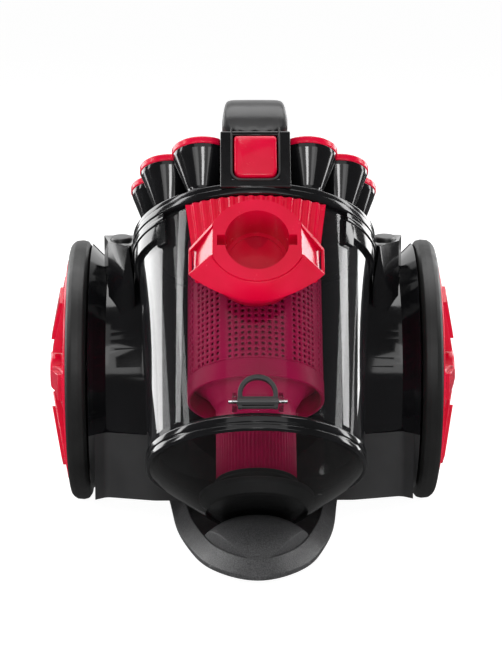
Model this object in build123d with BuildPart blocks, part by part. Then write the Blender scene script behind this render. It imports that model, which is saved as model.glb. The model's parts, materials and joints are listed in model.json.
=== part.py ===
"""Bagless multi-cyclone canister vacuum cleaner: drum body, two big wheels, tilted dust bin.

Frame: +X to the machine's own left-hand side, +Y to the rear, +Z up.
The origin is on the floor, below the middle of the machine. Lengths are in millimetres.
"""
from build123d import *
import math
import os

os.makedirs("parts", exist_ok=True)

# ---- driving dimensions -------------------------------------------------------------------
WHEEL_R = 94.8            # big wheel radius, so the axle's height
AXLE_Y = 67.0             # axle's place along the machine
FRONT_Y = -175.0          # tip of the chin
REAR_Y = 175.0            # rear face of the cord outlet
HALF_WIDTH = 147.5        # hub cap crown to the middle plane

DRUM_R = 91.0             # drum beside the bin
FLANGE_R = 92.0           # drum rim beside the tyre
CREASE_R = 80.0           # waist between the two
DRUM_FLAT_X = 70.0        # half width of the drum's cylindrical middle
CREASE_X = 104.0
FLANGE_X = 116.0
WALL = 3.0                # shell thickness
SEAM_Z = 65.0             # joint between the upper and lower shells
BODY_BOTTOM_Z = 18.0

BIN_TILT = 34.5           # bin leans back from upright, degrees
BIN_FOOT = (0.0, -116.0, 35.0)
LID_TOP = 41.0            # heights below are along the bin's own axis, from its foot
TUBE_TOP = 193.0
TUBE_R_LOW = 71.5
TUBE_R_TOP = 80.9
TUBE_WALL = 2.5
FLANGE_TOP = 198.5
DECK_TOP = 203.0
CROWN_TOP = 237.0
COVER_TOP = 242.0
COLLAR_R = 84.5

CYCLONE_RING_R = 65.0
CYCLONE_ANGLES = (33.0, 63.0, 90.0, 120.0, 150.0, -33.0, -63.0, -90.0, -120.0, -150.0)
CYCLONE_R_LOW = 12.0
CYCLONE_R_TOP = 21.0

PORT_T = 146.0            # inlet bore axis height on the bin
PORT_R = 21.0
PORT_FACE = 112.0         # inlet face to the bin's axis
PORT_DEPTH = 32.0

HANDLE_HALF_W = 23.5
RUN_GAP = 0.4             # between pieces that move past each other
PIN_GAP = 0.05            # radial, shaft in hole

# ---- frames -------------------------------------------------------------------------------
TILT = math.radians(BIN_TILT)
UP = Vector(0, math.sin(TILT), math.cos(TILT))        # bin's axis
OUT = Vector(0, -math.cos(TILT), math.sin(TILT))      # square to it, to the front
AXLE = (0.0, AXLE_Y, WHEEL_R)

BIN = Plane(origin=BIN_FOOT, x_dir=(1, 0, 0), z_dir=UP)            # sketch: x, to the rear
BIN_FRONT = Plane(origin=BIN_FOOT, x_dir=(1, 0, 0), z_dir=OUT)     # sketch: x or radius, height
BIN_SIDE = Plane(origin=BIN_FOOT, x_dir=-OUT, z_dir=(1, 0, 0))     # sketch: to the rear, height
BIN_AXIS = Axis(BIN_FOOT, UP)
AXLE_PLAN = Plane(origin=AXLE, x_dir=(1, 0, 0), z_dir=(0, 0, 1))   # sketch: x, to the rear
AXLE_SIDE = Plane(origin=AXLE, x_dir=(0, 1, 0), z_dir=(1, 0, 0))   # sketch: to the rear, up
AXLE_LINE = Axis(AXLE, (1, 0, 0))


def tube_radius(height):
    """Outer radius of the clear tube at a height on the bin's axis."""
    share = (height - LID_TOP) / (TUBE_TOP - LID_TOP)
    return TUBE_R_LOW + share * (TUBE_R_TOP - TUBE_R_LOW)


def save(builder, name):
    """Label a finished piece and write it as its own STEP file."""
    builder.part.label = name
    export_step(builder.part, f"parts/{name}.step")


def save_part(part, name):
    """Write a plain part under a name."""
    with BuildPart() as piece:
        add(part)
    save(piece, name)


def turned(profile, plane, axis):
    """Solid of revolution from a closed outline of (radius, height) points."""
    with BuildPart() as piece:
        with BuildSketch(plane):
            with BuildLine():
                Polyline(*profile, close=True)
            make_face()
        revolve(axis=axis)
    return piece.part


def bin_turned(profile):
    """Solid of revolution about the bin's axis."""
    return turned(profile, BIN_FRONT, BIN_AXIS)


def axle_turned(profile):
    """Solid of revolution about the axle; the outline is (x, radius)."""
    return turned(profile, AXLE_PLAN, AXLE_LINE)


# ---- body casing --------------------------------------------------------------------------
def drum_profile(shrink):
    """Half outline of the drum, from its middle plane to the flange, less a wall."""
    flange_x = FLANGE_X - shrink
    flange_r = FLANGE_R - 2.42 * shrink    # the flange's cone runs at 45 degrees
    crease_r = CREASE_R - 1.42 * shrink
    return [
        (-flange_x, 0.0), (-flange_x, flange_r), (-CREASE_X, crease_r),
        (-DRUM_FLAT_X, DRUM_R - shrink), (DRUM_FLAT_X, DRUM_R - shrink),
        (CREASE_X, crease_r), (flange_x, flange_r), (flange_x, 0.0),
    ]


def tail_solid(shrink):
    """Rounded rear of the body, which holds the exhaust and the cord outlet."""
    low = BODY_BOTTOM_Z + shrink - WHEEL_R
    back = REAR_Y - AXLE_Y - 5.0 - shrink
    with BuildPart() as tail:
        with BuildSketch(AXLE_SIDE.offset(-DRUM_FLAT_X + shrink)):
            with BuildLine():
                Polyline((0, low), (back - 22, low), (back, low + 34), (back, 30 - shrink),
                         (back - 34, 66 - shrink), (0, 88 - shrink), close=True)
            make_face()
        extrude(amount=2 * (DRUM_FLAT_X - shrink))
        corners = tail.edges().filter_by(lambda e: e.center().Y > AXLE_Y + back - 25)
        sides = corners.filter_by(lambda e: abs(abs(e.center().X) - DRUM_FLAT_X + shrink) < 0.1)
        fillet(sides, radius=14)
    return tail.part


def rounded_outline(points, plane, corner_radii):
    """Closed outline whose corners at given distances from the middle plane are rounded."""
    with BuildSketch(plane) as outline:
        with BuildLine():
            Polyline(*points, close=True)
        make_face()
        for x, radius in corner_radii:
            corners = outline.vertices().filter_by(
                lambda v: abs(abs(v.X) - x) < 0.1 and abs(v.Y - AXLE_Y) > 50)
            fillet(corners, radius=radius)
    return outline.sketch


def casing_solid(shrink):
    """Whole body outline, smaller all round by a wall thickness."""
    corner_radii = ((CREASE_X, 6.0), (DRUM_FLAT_X, 16.0))
    skirt_ratio = 0.945                    # drum's half depth at the seam over its radius
    floor_z = BODY_BOTTOM_Z + shrink
    with BuildPart() as casing:
        drum = rounded_outline(drum_profile(shrink), AXLE_PLAN, corner_radii)
        revolve(drum, axis=AXLE_LINE)
        skirt = [(x, AXLE_Y - skirt_ratio * r) for x, r in drum_profile(shrink)[1:7]]
        skirt_edge = FLANGE_X - shrink - 4.0
        skirt[0] = (-skirt_edge, skirt[0][1] + 4.0)
        skirt[-1] = (skirt_edge, skirt[-1][1] + 4.0)
        plan = [(-skirt_edge, AXLE_Y), *skirt, (skirt_edge, AXLE_Y)]
        extrude(rounded_outline(plan, Plane.XY.offset(floor_z), corner_radii),
                amount=SEAM_Z - floor_z)
        add(tail_solid(shrink))
        with BuildSketch(Plane.XY.offset(floor_z)):
            with Locations((0, AXLE_Y)):
                Rectangle(400, 400)
        extrude(amount=-80, mode=Mode.SUBTRACT)
    return casing.part


SADDLE_TOP = 340.0         # above the casing everywhere


def saddle_solid(grow):
    """Space that the bin fills and slides out of, larger all round by a wall thickness."""
    low = 28.0 - grow
    with BuildPart() as saddle:
        add(bin_turned([
            (0, low), (76.0 + grow, low), (76.5 + grow, 44.0), (83.0 + grow, 170.0),
            (COLLAR_R + 1.0 + grow, 176.0), (COLLAR_R + 1.0 + grow, COVER_TOP - 10.0),
            (92.0 + grow, COVER_TOP - 4.0), (92.0 + grow, SADDLE_TOP), (0, SADDLE_TOP)]))
        with BuildSketch(BIN.offset(low)):
            with Locations((0, 70)):
                Rectangle(46 + 2 * grow, 28 + 2 * grow)
        extrude(amount=SADDLE_TOP - low)
    return saddle.part


casing = casing_solid(0.0)
casing_space = casing_solid(WALL)
saddle = saddle_solid(0.0)
saddle_wall = saddle_solid(WALL)


# ---- body shells --------------------------------------------------------------------------
DOOR_HALF_W = 46.0
DOOR_LOW_Z = 62.0
DOOR_HIGH_Z = 118.0
DOOR_BACK_Y = REAR_Y - 5.0
DOOR_GAP = 0.7
CORD_X = 40.0
CORD_Z = 46.0
SHAFT_R = 6.0              # wheel stub axles
DUCT_X = 30.0
DUCT_T = 156.0
DUCT_R = 13.0

with BuildPart() as shell:
    add(casing)
    add(saddle, mode=Mode.SUBTRACT)
    hollow = casing_space - saddle_wall
    add(hollow, mode=Mode.SUBTRACT)
    with BuildSketch(Plane.XZ.offset(-DOOR_BACK_Y - 1)):
        with Locations((0, (DOOR_LOW_Z + DOOR_HIGH_Z) / 2)):
            Rectangle(2 * DOOR_HALF_W, DOOR_HIGH_Z - DOOR_LOW_Z)
    extrude(amount=12, mode=Mode.SUBTRACT)
    with BuildSketch(Plane.XZ.offset(-DOOR_BACK_Y - 1)):
        with Locations((CORD_X, CORD_Z)):
            Circle(8.0)
    extrude(amount=12, mode=Mode.SUBTRACT)
    with BuildSketch(AXLE_SIDE.offset(-FLANGE_X - 1)):
        Circle(SHAFT_R)
    extrude(amount=2 * FLANGE_X + 2, mode=Mode.SUBTRACT)
    with BuildSketch(Plane(origin=BIN_FOOT, x_dir=(1, 0, 0), z_dir=-OUT).offset(70)):
        with Locations((DUCT_X, -DUCT_T), (-DUCT_X, -DUCT_T)):
            Circle(DUCT_R)
    extrude(amount=30, mode=Mode.SUBTRACT)

SCREW_PLACES = ((-90, 20), (90, 20), (-50, 120), (50, 120))
SCREW_HEAD_R = 4.0
SCREW_STEM_R = 2.0
with BuildPart() as body_screws:
    with BuildSketch(Plane.XY.offset(BODY_BOTTOM_Z)):
        with Locations(*SCREW_PLACES):
            Circle(SCREW_HEAD_R)
            Circle(1.5, mode=Mode.SUBTRACT)
    extrude(amount=1.5)
    with BuildSketch(Plane.XY.offset(BODY_BOTTOM_Z + 1.5)):
        with Locations(*SCREW_PLACES):
            Circle(SCREW_STEM_R)
    extrude(amount=12.0)
save(body_screws, "body_screws")

with BuildPart() as upper_shell:
    add(shell.part)
    split(bisect_by=Plane.XY.offset(SEAM_Z), keep=Keep.TOP)
save(upper_shell, "upper_shell")

with BuildPart() as lower_shell:
    add(shell.part)
    with BuildSketch(Plane.XY.offset(BODY_BOTTOM_Z)):
        with Locations(*SCREW_PLACES):
            Circle(SCREW_HEAD_R)
    extrude(amount=1.5, mode=Mode.SUBTRACT)
    with BuildSketch(Plane.XY.offset(BODY_BOTTOM_Z)):
        with Locations(*SCREW_PLACES):
            Circle(SCREW_STEM_R)
    extrude(amount=WALL + 1, mode=Mode.SUBTRACT)
    split(bisect_by=Plane.XY.offset(SEAM_Z), keep=Keep.BOTTOM)
save(lower_shell, "lower_shell")


# ---- shoulders with the two foot buttons --------------------------------------------------
POD_TOP_Z = 197.0
POD_INNER_X = 83.5
BUTTON_CENTRE = (93.5, 27.0)
BUTTON_R = 7.5              # half width and half length of the oval key
BUTTON_LONG = 13.0
BUTTON_TOP_Z = POD_TOP_Z + 2.0
BUTTON_LOW_Z = 190.0
WELL_LOW_Z = 186.0


def shoulder(side):
    """Faceted block on the drum beside the bin, with a well for its button."""
    with BuildPart() as pod:
        with BuildSketch(Plane.YZ.offset(side * (POD_INNER_X - 0.5))):
            with BuildLine():
                Polyline((3, 140), (2, 164), (0, 173), (-8, POD_TOP_Z - 1), (-6, POD_TOP_Z),
                         (47, POD_TOP_Z), (56, 192), (64, 176), (64, 140), close=True)
            make_face()
        extrude(amount=side * 26.0)
        with BuildSketch(Plane.XY.offset(130)):
            with BuildLine():
                Polyline((side * POD_INNER_X, 70), (side * POD_INNER_X, 2.5), (side * 87, -7.5),
                         (side * 102.5, 17), (side * 106.5, 46), (side * 98, 64), close=True)
            make_face()
        extrude(amount=80, mode=Mode.INTERSECT)
        add(casing, mode=Mode.SUBTRACT)
        add(saddle, mode=Mode.SUBTRACT)
        with BuildSketch(Plane.XY.offset(WELL_LOW_Z)):
            with Locations((side * BUTTON_CENTRE[0], BUTTON_CENTRE[1])):
                Ellipse(BUTTON_R + RUN_GAP, BUTTON_LONG + RUN_GAP)
        extrude(amount=30, mode=Mode.SUBTRACT)
    return pod


def button(side):
    """Oval key with a rounded top edge."""
    with BuildPart() as key:
        with BuildSketch(Plane.XY.offset(BUTTON_LOW_Z)):
            with Locations((side * BUTTON_CENTRE[0], BUTTON_CENTRE[1])):
                Ellipse(BUTTON_R, BUTTON_LONG)
        extrude(amount=BUTTON_TOP_Z - BUTTON_LOW_Z)
        chamfer(key.faces().sort_by(Axis.Z)[-1].edges(), length=0.8)
    return key


def button_spring(side):
    """Sleeve that stands for the coil spring under the key."""
    with BuildPart() as coil:
        with BuildSketch(Plane.XY.offset(WELL_LOW_Z)):
            with Locations((side * BUTTON_CENTRE[0], BUTTON_CENTRE[1])):
                Circle(4.0)
                Circle(3.2, mode=Mode.SUBTRACT)
        extrude(amount=BUTTON_LOW_Z - WELL_LOW_Z - 0.1)
    return coil


for side, pod_name, key_name in ((-1, "right_shoulder", "power_button"),
                                 (1, "left_shoulder", "rewind_button")):
    save(shoulder(side), pod_name)
    save(button(side), key_name)
    save(button_spring(side), key_name + "_spring")


# ---- chin: bumper rim and tray under the bin ----------------------------------------------
CHIN_LOW_Z = 6.0
CHIN_TOP_Z = 18.0
RIM_W = 9.0
CASTER_Y = -131.0
DOME_Y = -126.0


def chin_sketch(inset, height):
    """Plan outline of the chin, drawn in by a distance."""
    side_x = 61.0 - inset
    with BuildSketch(Plane.XY.offset(height)) as outline:
        with BuildLine():
            Spline((-side_x, 28), (-53 + inset, -60), (-43 + inset, -112),
                   (-25 + 0.8 * inset, -157 + 0.55 * inset), (0, FRONT_Y + inset),
                   (25 - 0.8 * inset, -157 + 0.55 * inset), (43 - inset, -112),
                   (53 - inset, -60), (side_x, 28))
            Line((-side_x, 28), (side_x, 28))
        make_face()
    return outline.sketch


with BuildPart() as front_bumper:
    add(chin_sketch(0.0, CHIN_LOW_Z + 3))
    add(chin_sketch(RIM_W - 1, CHIN_TOP_Z))
    loft()
    extrude(chin_sketch(0.0, CHIN_LOW_Z), amount=3)
    extrude(chin_sketch(RIM_W, CHIN_LOW_Z - 1), amount=30, mode=Mode.SUBTRACT)
save(front_bumper, "front_bumper")

DOME_R = 51.0               # radius of the ball that the dome is cut from
DOME_H = 27.0
TRAY_Z = CHIN_LOW_Z + 2
CASTER_PIN_R = 3.0
CASTER_AXIS = Plane(origin=(0, CASTER_Y, 0))


def below_bin(drop):
    """Block under the bin's foot, a clearance below it."""
    with BuildPart() as under:
        with BuildSketch(BIN.offset(-drop)):
            with Locations((0, -80)):
                Rectangle(300, 400)
        extrude(amount=-200)
    return under.part


def dome(radius, drop, inset):
    """Part of a ball that stands above the tray and clears the bin's foot."""
    with BuildPart() as cap:
        with Locations((0, DOME_Y, TRAY_Z + DOME_H - DOME_R)):
            Sphere(radius)
        add(below_bin(drop), mode=Mode.INTERSECT)
        extrude(chin_sketch(RIM_W + inset, TRAY_Z), amount=60, mode=Mode.INTERSECT)
    return cap.part


dome_outside = dome(DOME_R, 2.0, 0.0)
dome_inside = dome(DOME_R - WALL, 2.0 + WALL, WALL)
with BuildPart() as chin_tray:
    extrude(chin_sketch(RIM_W, TRAY_Z), amount=WALL)
    add(dome_outside)
    add(dome_inside, mode=Mode.SUBTRACT)
    with BuildSketch(CASTER_AXIS.offset(28.4)):
        Circle(7.0)
    extrude(amount=4.6)
    with BuildSketch(CASTER_AXIS.offset(28.0)):
        Circle(CASTER_PIN_R + PIN_GAP)
    extrude(amount=4.5, mode=Mode.SUBTRACT)
save(chin_tray, "chin_tray")

# ---- caster -------------------------------------------------------------------------------
CASTER_R = 10.0
CASTER_W = 12.0
CASTER_TRAIL = 6.0
CASTER_WHEEL = Plane(origin=(0, CASTER_Y + CASTER_TRAIL, CASTER_R), x_dir=(0, 1, 0),
                     z_dir=(1, 0, 0))

with BuildPart() as caster_fork:
    with BuildSketch(CASTER_AXIS.offset(24.0)):
        Circle(12.0)
    extrude(amount=3.6)
    with BuildSketch(CASTER_AXIS.offset(27.6)):
        Circle(CASTER_PIN_R)
    extrude(amount=4.4)
    for side in (-1, 1):
        with BuildSketch(CASTER_WHEEL.offset(side * (CASTER_W / 2 + 0.6))):
            with BuildLine():
                Polyline((-4, -4), (4, -4), (5, 14.2), (-12, 14.2), close=True)
            make_face()
        extrude(amount=side * 2.4)
    with BuildSketch(CASTER_WHEEL.offset(-20)):
        Circle(1.5)
    extrude(amount=40, mode=Mode.SUBTRACT)
save(caster_fork, "caster_fork")

with BuildPart() as caster_axle:
    with BuildSketch(CASTER_WHEEL.offset(-CASTER_W / 2 - 3)):
        Circle(1.5)
    extrude(amount=CASTER_W + 6)
save(caster_axle, "caster_axle")

with BuildPart() as caster_wheel:
    with BuildSketch(CASTER_WHEEL.offset(-CASTER_W / 2)):
        Circle(CASTER_R)
        Circle(1.5 + PIN_GAP, mode=Mode.SUBTRACT)
    extrude(amount=CASTER_W)
    chamfer(caster_wheel.edges().filter_by(GeomType.CIRCLE).filter_by(
        lambda e: e.radius > 5), length=1.2)
save(caster_wheel, "caster_wheel")


# ---- big wheels ---------------------------------------------------------------------------
TYRE_IN_X = 117.5
TYRE_OUT_X = 132.0
TYRE_BORE_R = 84.0
HUB_R = 14.0
CAP_R = 83.6


def big_wheel(side, word):
    """Tyre, disc and hub cap of one wheel, and the stub axle that it turns on."""
    def x(value):
        return side * value

    save_part(axle_turned([
        (x(TYRE_IN_X), TYRE_BORE_R), (x(TYRE_IN_X), WHEEL_R - 3), (x(TYRE_IN_X + 2), WHEEL_R - 0.8),
        (x(TYRE_IN_X + 5), WHEEL_R), (x(TYRE_OUT_X - 6), WHEEL_R), (x(TYRE_OUT_X - 2), WHEEL_R - 1.6),
        (x(TYRE_OUT_X), WHEEL_R - 5), (x(TYRE_OUT_X), TYRE_BORE_R)]), word + "_tyre")
    save_part(axle_turned([
        (x(TYRE_IN_X), SHAFT_R + PIN_GAP), (x(TYRE_IN_X), HUB_R), (x(119.0), HUB_R),
        (x(119.0), TYRE_BORE_R), (x(123.0), TYRE_BORE_R), (x(123.0), HUB_R + 2),
        (x(136.0), HUB_R + 2), (x(136.0), SHAFT_R + PIN_GAP)]), word + "_wheel_disc")
    cap = axle_turned([
        (x(123.0), CAP_R), (x(131.0), CAP_R), (x(135.5), 80.0), (x(141.0), 62.0), (x(145.0), 38.0),
        (x(HALF_WIDTH), 16.0), (x(HALF_WIDTH), 0.0), (x(142.5), 0.0), (x(139.0), 38.0),
        (x(135.0), 62.0), (x(128.0), 79.0), (x(123.0), 79.0)])
    with BuildPart() as hub_cap:
        add(cap)
    save(hub_cap, word + "_hub_cap")
    with BuildPart() as axle:
        with BuildSketch(AXLE_SIDE.offset(x(110.0))):
            Circle(SHAFT_R)
        extrude(amount=x(28.0))
        with BuildSketch(AXLE_SIDE.offset(x(110.0))):
            Circle(11.0)
        extrude(amount=x(FLANGE_X - WALL - 110.0))
        with BuildSketch(AXLE_SIDE.offset(x(136.3))):
            Circle(9.0)
        extrude(amount=x(1.7))
    save(axle, word + "_axle")


big_wheel(-1, "right")
big_wheel(1, "left")

# ---- motor, fan and filters ---------------------------------------------------------------
MOTOR_AXIS = Plane(origin=(0, AXLE_Y + 24, 98.0), x_dir=(0, 1, 0), z_dir=(1, 0, 0))
MOTOR_R = 38.0
MOTOR_X = (-62.0, -4.0)
FAN_X = (-84.0, -64.0)
MOTOR_SHAFT_R = 4.0
BEARING_R = MOTOR_SHAFT_R + PIN_GAP

with BuildPart() as motor_can:
    with BuildSketch(MOTOR_AXIS.offset(MOTOR_X[0])):
        Circle(MOTOR_R)
    extrude(amount=MOTOR_X[1] - MOTOR_X[0])
    with BuildSketch(MOTOR_AXIS.offset(MOTOR_X[0] + 3)):
        Circle(MOTOR_R - 2)
    extrude(amount=MOTOR_X[1] - MOTOR_X[0] - 6, mode=Mode.SUBTRACT)
    with BuildSketch(MOTOR_AXIS.offset(MOTOR_X[0] - 1)):
        Circle(BEARING_R)
    extrude(amount=70, mode=Mode.SUBTRACT)
save(motor_can, "motor_can")

with BuildPart() as fan_housing:
    with BuildSketch(MOTOR_AXIS.offset(FAN_X[0])):
        Circle(42.0)
    extrude(amount=FAN_X[1] - FAN_X[0])
    with BuildSketch(MOTOR_AXIS.offset(FAN_X[0] + 2)):
        Circle(40.0)
    extrude(amount=FAN_X[1] - FAN_X[0], mode=Mode.SUBTRACT)
    with BuildSketch(MOTOR_AXIS.offset(FAN_X[0] - 1)):
        Circle(16.0)
    extrude(amount=8, mode=Mode.SUBTRACT)
save(fan_housing, "fan_housing")

with BuildPart() as motor_shaft:
    with BuildSketch(MOTOR_AXIS.offset(FAN_X[0] + 4)):
        Circle(MOTOR_SHAFT_R)
    extrude(amount=MOTOR_X[1] - FAN_X[0] - 2)
    with BuildSketch(MOTOR_AXIS.offset(MOTOR_X[0] + 8)):
        Circle(24.0)
    extrude(amount=38)
save(motor_shaft, "motor_armature")

with BuildPart() as fan_impeller:
    with BuildSketch(MOTOR_AXIS.offset(FAN_X[0] + 14)):
        Circle(36.0)
    extrude(amount=2)
    with BuildSketch(MOTOR_AXIS.offset(FAN_X[0] + 5)):
        with PolarLocations(22.0, 9):
            Rectangle(26.0, 1.6, rotation=35)
        Circle(9.0)
    extrude(amount=10)
    with BuildSketch(MOTOR_AXIS.offset(FAN_X[0] + 4)):
        Circle(MOTOR_SHAFT_R)
    extrude(amount=14, mode=Mode.SUBTRACT)
save(fan_impeller, "fan_impeller")

with BuildPart() as motor_bracket:
    with BuildSketch(MOTOR_AXIS.offset(-40.0)):
        with Locations((0, -23)):
            Rectangle(92.0, 104.0)
        Circle(MOTOR_R + 3, mode=Mode.SUBTRACT)
        with Locations((-80, 36)):
            Rectangle(80, 80, rotation=-34, mode=Mode.SUBTRACT)
    extrude(amount=6)
save(motor_bracket, "motor_bracket")

with BuildPart() as motor_mount_ring:
    with BuildSketch(MOTOR_AXIS.offset(-41.0)):
        Circle(MOTOR_R + 3)
        Circle(MOTOR_R, mode=Mode.SUBTRACT)
    extrude(amount=8)
save(motor_mount_ring, "motor_mount_ring")

with BuildPart() as duct_seals:
    with BuildSketch(Plane(origin=BIN_FOOT, x_dir=(1, 0, 0), z_dir=-OUT).offset(79.0)):
        with Locations((DUCT_X, -DUCT_T), (-DUCT_X, -DUCT_T)):
            Circle(DUCT_R)
            Circle(DUCT_R - 2.5, mode=Mode.SUBTRACT)
    extrude(amount=5)
save(duct_seals, "duct_seals")

FILTER_Y = DOOR_BACK_Y - 18.0
with BuildPart() as exhaust_filter:
    with BuildSketch(Plane.XZ.offset(-FILTER_Y - 10)):
        with Locations((0, (DOOR_LOW_Z + DOOR_HIGH_Z) / 2)):
            Rectangle(2 * DOOR_HALF_W - 4, DOOR_HIGH_Z - DOOR_LOW_Z - 4)
    extrude(amount=12)
save(exhaust_filter, "exhaust_filter")

# ---- cord reel, outlet and control board --------------------------------------------------
REEL_AXIS = Plane(origin=(0, AXLE_Y + 30, 97.0), x_dir=(0, 1, 0), z_dir=(1, 0, 0))
REEL_R = 50.0
REEL_X = (38.0, 76.0)
with BuildPart() as cord_reel:
    for x in (REEL_X[0], REEL_X[1] - 2):
        with BuildSketch(REEL_AXIS.offset(x)):
            Circle(REEL_R)
        extrude(amount=2)
    with BuildSketch(REEL_AXIS.offset(REEL_X[0])):
        Circle(24.0)
    extrude(amount=REEL_X[1] - REEL_X[0])
    with BuildSketch(REEL_AXIS.offset(REEL_X[0] - 1)):
        Circle(5.0 + PIN_GAP)
    extrude(amount=40, mode=Mode.SUBTRACT)
save(cord_reel, "cord_reel")

with BuildPart() as reel_bracket:
    with BuildSketch(REEL_AXIS.offset(26.0)):
        with Locations((0, -22.5)):
            Rectangle(92.0, 105.0)
        with Locations((-66, 40)):
            Rectangle(80, 80, rotation=-34, mode=Mode.SUBTRACT)
    extrude(amount=3)
    with BuildSketch(REEL_AXIS.offset(29.0)):
        Circle(5.0)
    extrude(amount=48)
save(reel_bracket, "reel_bracket")

with BuildPart() as control_board:
    with BuildSketch(Plane.XY.offset(30.0)):
        with Locations((0, AXLE_Y + 30)):
            Rectangle(44.0, 60.0)
    extrude(amount=1.6)
    with BuildSketch(Plane.XY.offset(31.6)):
        with Locations((-12, AXLE_Y + 14), (10, AXLE_Y + 34)):
            Rectangle(14.0, 18.0)
    extrude(amount=10)
    with BuildSketch(Plane.XY.offset(BODY_BOTTOM_Z + WALL)):
        with Locations((0, AXLE_Y + 30)):
            with GridLocations(34.0, 50.0, 2, 2):
                Circle(3.0)
    extrude(amount=30.0 - BODY_BOTTOM_Z - WALL)
save(control_board, "control_board")

with BuildPart() as cord_outlet:
    with BuildSketch(Plane.XZ.offset(-DOOR_BACK_Y + 8)):
        with Locations((CORD_X, CORD_Z)):
            Circle(8.0)
            Circle(4.5, mode=Mode.SUBTRACT)
    extrude(amount=-8)
    with BuildSketch(Plane.XZ.offset(-DOOR_BACK_Y)):
        with Locations((CORD_X, CORD_Z)):
            Circle(13.0)
            Circle(4.5, mode=Mode.SUBTRACT)
    extrude(amount=-5)
    chamfer(cord_outlet.faces().sort_by(Axis.Y)[-1].outer_wire().edges(), length=1.5)
save(cord_outlet, "cord_outlet")

# ---- exhaust door -------------------------------------------------------------------------
DOOR_HINGE_Z = DOOR_HIGH_Z - 2.5
DOOR_HINGE_Y = DOOR_BACK_Y - 1.5
with BuildPart() as exhaust_door:
    with BuildSketch(Plane.XZ.offset(-DOOR_BACK_Y + 3)):
        with Locations((0, (DOOR_LOW_Z + DOOR_HIGH_Z) / 2)):
            Rectangle(2 * (DOOR_HALF_W - DOOR_GAP), DOOR_HIGH_Z - DOOR_LOW_Z - 2 * DOOR_GAP)
    extrude(amount=-3)
    with BuildSketch(Plane.XZ.offset(-DOOR_BACK_Y + 4)):
        with Locations((0, (DOOR_LOW_Z + DOOR_HIGH_Z) / 2)):
            with GridLocations(0, 6.0, 1, 7):
                SlotOverall(74.0, 2.6)
    extrude(amount=-8, mode=Mode.SUBTRACT)
    with BuildSketch(Plane.YZ.offset(-DOOR_HALF_W - 1)):
        with Locations((DOOR_HINGE_Y, DOOR_HINGE_Z)):
            Circle(1.0 + PIN_GAP)
    extrude(amount=100, mode=Mode.SUBTRACT)
save(exhaust_door, "exhaust_door")

with BuildPart() as door_pin:
    with BuildSketch(Plane.YZ.offset(-DOOR_HALF_W)):
        with Locations((DOOR_HINGE_Y, DOOR_HINGE_Z)):
            Circle(1.0)
    extrude(amount=2 * DOOR_HALF_W)
save(door_pin, "door_hinge_pin")


# ---- bin: clear tube, collar and inlet ----------------------------------------------------
COLLAR_SKIRT_T = 178.0
COLLAR_OPEN_DEG = 47.5     # collar's skirt is left out this far each side of the front
PORT_HOLE_R = 17.5
SHIELD_DEG = 34.0
SHIELD_LOW_T = 136.0
SHIELD_TOP_T = 192.0


def tube_solid(top, grow):
    """Solid cone frustum that the clear tube's outside lies on."""
    return bin_turned([(0, LID_TOP), (tube_radius(LID_TOP) + grow, LID_TOP),
                       (tube_radius(top) + grow, top), (0, top)])


with BuildPart() as bin_collar:
    add(bin_turned([
        (tube_radius(COLLAR_SKIRT_T), COLLAR_SKIRT_T), (83.4, COLLAR_SKIRT_T), (COLLAR_R - 0.5, TUBE_TOP),
        (COLLAR_R, TUBE_TOP), (COLLAR_R, FLANGE_TOP), (74.0, FLANGE_TOP), (74.0, TUBE_TOP),
        (tube_radius(TUBE_TOP), TUBE_TOP)]))
    half_front = 110.0 * math.sin(math.radians(COLLAR_OPEN_DEG))
    front_reach = 110.0 * math.cos(math.radians(COLLAR_OPEN_DEG))
    with BuildSketch(BIN.offset(COLLAR_SKIRT_T - 1)):
        with BuildLine():
            Polyline((0, 0), (half_front, -front_reach), (half_front, -110), (-half_front, -110),
                     (-half_front, -front_reach), close=True)
        make_face()
    extrude(amount=TUBE_TOP - COLLAR_SKIRT_T + 1, mode=Mode.SUBTRACT)
save(bin_collar, "bin_collar")

FACE_HALF_W = 29.5
FACE_STRAIGHT = 12.3
FACE_TOP = 29.0


def port_outline(distance, half_w, straight_top, straight_low, top, low):
    """Outline of the inlet snout at a distance in front of the bin's axis."""
    with BuildSketch(BIN_FRONT.offset(distance)) as outline:
        with BuildLine():
            Line((-half_w, PORT_T + straight_low), (-half_w, PORT_T + straight_top))
            ThreePointArc((-half_w, PORT_T + straight_top), (0, PORT_T + top),
                          (half_w, PORT_T + straight_top))
            Line((half_w, PORT_T + straight_top), (half_w, PORT_T + straight_low))
            ThreePointArc((half_w, PORT_T + straight_low), (0, PORT_T + low),
                          (-half_w, PORT_T + straight_low))
        make_face()
    return outline.sketch


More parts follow.
